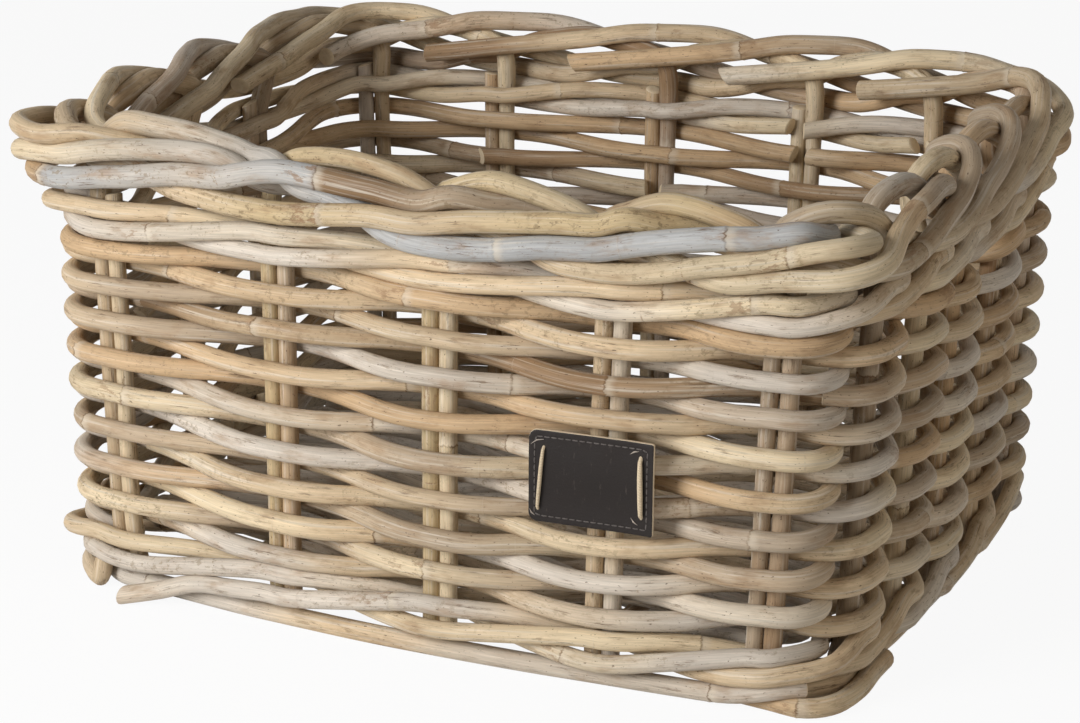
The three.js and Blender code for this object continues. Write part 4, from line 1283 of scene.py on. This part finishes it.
# Floor, light and camera
CAMERA_AZIMUTH = 0.4398
CAMERA_ELEVATION = 0.3047
CAMERA_DISTANCE = 1521.1
CAMERA_TARGET = Vector((37.9, -101.9, 133.2))
CAMERA_ROLL = 0.0123
CAMERA_LENS = 105.88
LAMP_AIM = Vector((0, 0, 0.12))
FLOOR_REACH = 6000
# The part of the floor's look that is plain white, so that only a soft shadow shows on it
FLOOR_WHITE_SHARE = 0.93
WORLD_LIGHT = 0.06


def add_camera():
    away = Vector((
        math.sin(CAMERA_AZIMUTH) * math.cos(CAMERA_ELEVATION),
        -math.cos(CAMERA_AZIMUTH) * math.cos(CAMERA_ELEVATION),
        math.sin(CAMERA_ELEVATION),
    ))
    right = (-away).cross(Vector((0, 0, 1))).normalized()
    up = right.cross(-away)
    turned_right = right * math.cos(CAMERA_ROLL) + up * math.sin(CAMERA_ROLL)
    turned_up = up * math.cos(CAMERA_ROLL) - right * math.sin(CAMERA_ROLL)
    camera = add_object("camera", bpy.data.cameras.new("camera"))
    camera.data.sensor_width = 36
    camera.data.lens = CAMERA_LENS
    axes = Matrix((turned_right, turned_up, away)).transposed()
    place = (CAMERA_TARGET + away * CAMERA_DISTANCE) * MM
    camera.matrix_world = Matrix.Translation(place) @ axes.to_4x4()
    bpy.context.scene.camera = camera


def add_lamp(name, place, size, power, colour=(1, 1, 1)):
    lamp = bpy.data.lights.new(name, "AREA")
    lamp.size = size
    lamp.energy = power
    lamp.color = colour
    obj = add_object(name, lamp)
    obj.location = place
    obj.rotation_euler = (LAMP_AIM - Vector(place)).to_track_quat("-Z", "Y").to_euler()


def is_seen(tree):
    """1 where the camera, or a reflection or refraction of it, looks straight at the surface."""
    path = add_node(tree, "ShaderNodeLightPath")
    seen = calculate(tree, "MAXIMUM", path.outputs["Is Camera Ray"], path.outputs["Is Glossy Ray"])
    return calculate(tree, "MAXIMUM", seen, path.outputs["Is Transmission Ray"])


def add_floor():
    material, tree, shader = new_material("floor_white")
    inputs = {"Base Color": (0.8, 0.8, 0.8, 1), "Roughness": 0.9, "Specular IOR Level": 0.0}
    feed(tree, shader, inputs)
    glow = add_node(tree, "ShaderNodeEmission", {"Color": (1, 1, 1, 1), "Strength": 1.0})
    share = multiply(tree, is_seen(tree), FLOOR_WHITE_SHARE)
    mix = add_node(tree, "ShaderNodeMixShader", {0: share, 1: shader.outputs[0], 2: glow.outputs[0]})
    feed(tree, tree.nodes["Material Output"], {"Surface": mix.outputs[0]})
    corners = [(x * FLOOR_REACH, y * FLOOR_REACH, 0) for x, y in ((-1, -1), (1, -1), (1, 1), (-1, 1))]
    floor = mesh_object("floor", corners, [(0, 1, 2, 3)], [material], [0])


def add_world():
    world = bpy.data.worlds.new("studio")
    bpy.context.scene.world = world
    world.use_nodes = True
    tree = world.node_tree
    strength = remap(tree, is_seen(tree), 0.0, 1.0, WORLD_LIGHT, 1.0, "LINEAR")
    feed(tree, tree.nodes["Background"], {"Color": (1, 1, 1, 1), "Strength": strength})


add_camera()
add_floor()
add_world()
add_lamp("key", (-0.7, -1.5, 0.75), size=0.8, power=28.5)
add_lamp("fill", (2.4, -1.0, 1.0), size=1.6, power=14.5, colour=(1, 0.92, 0.81))
add_lamp("top", (-0.3, 0.2, 2.6), size=1.2, power=4)
bpy.context.scene.view_settings.view_transform = "Standard"
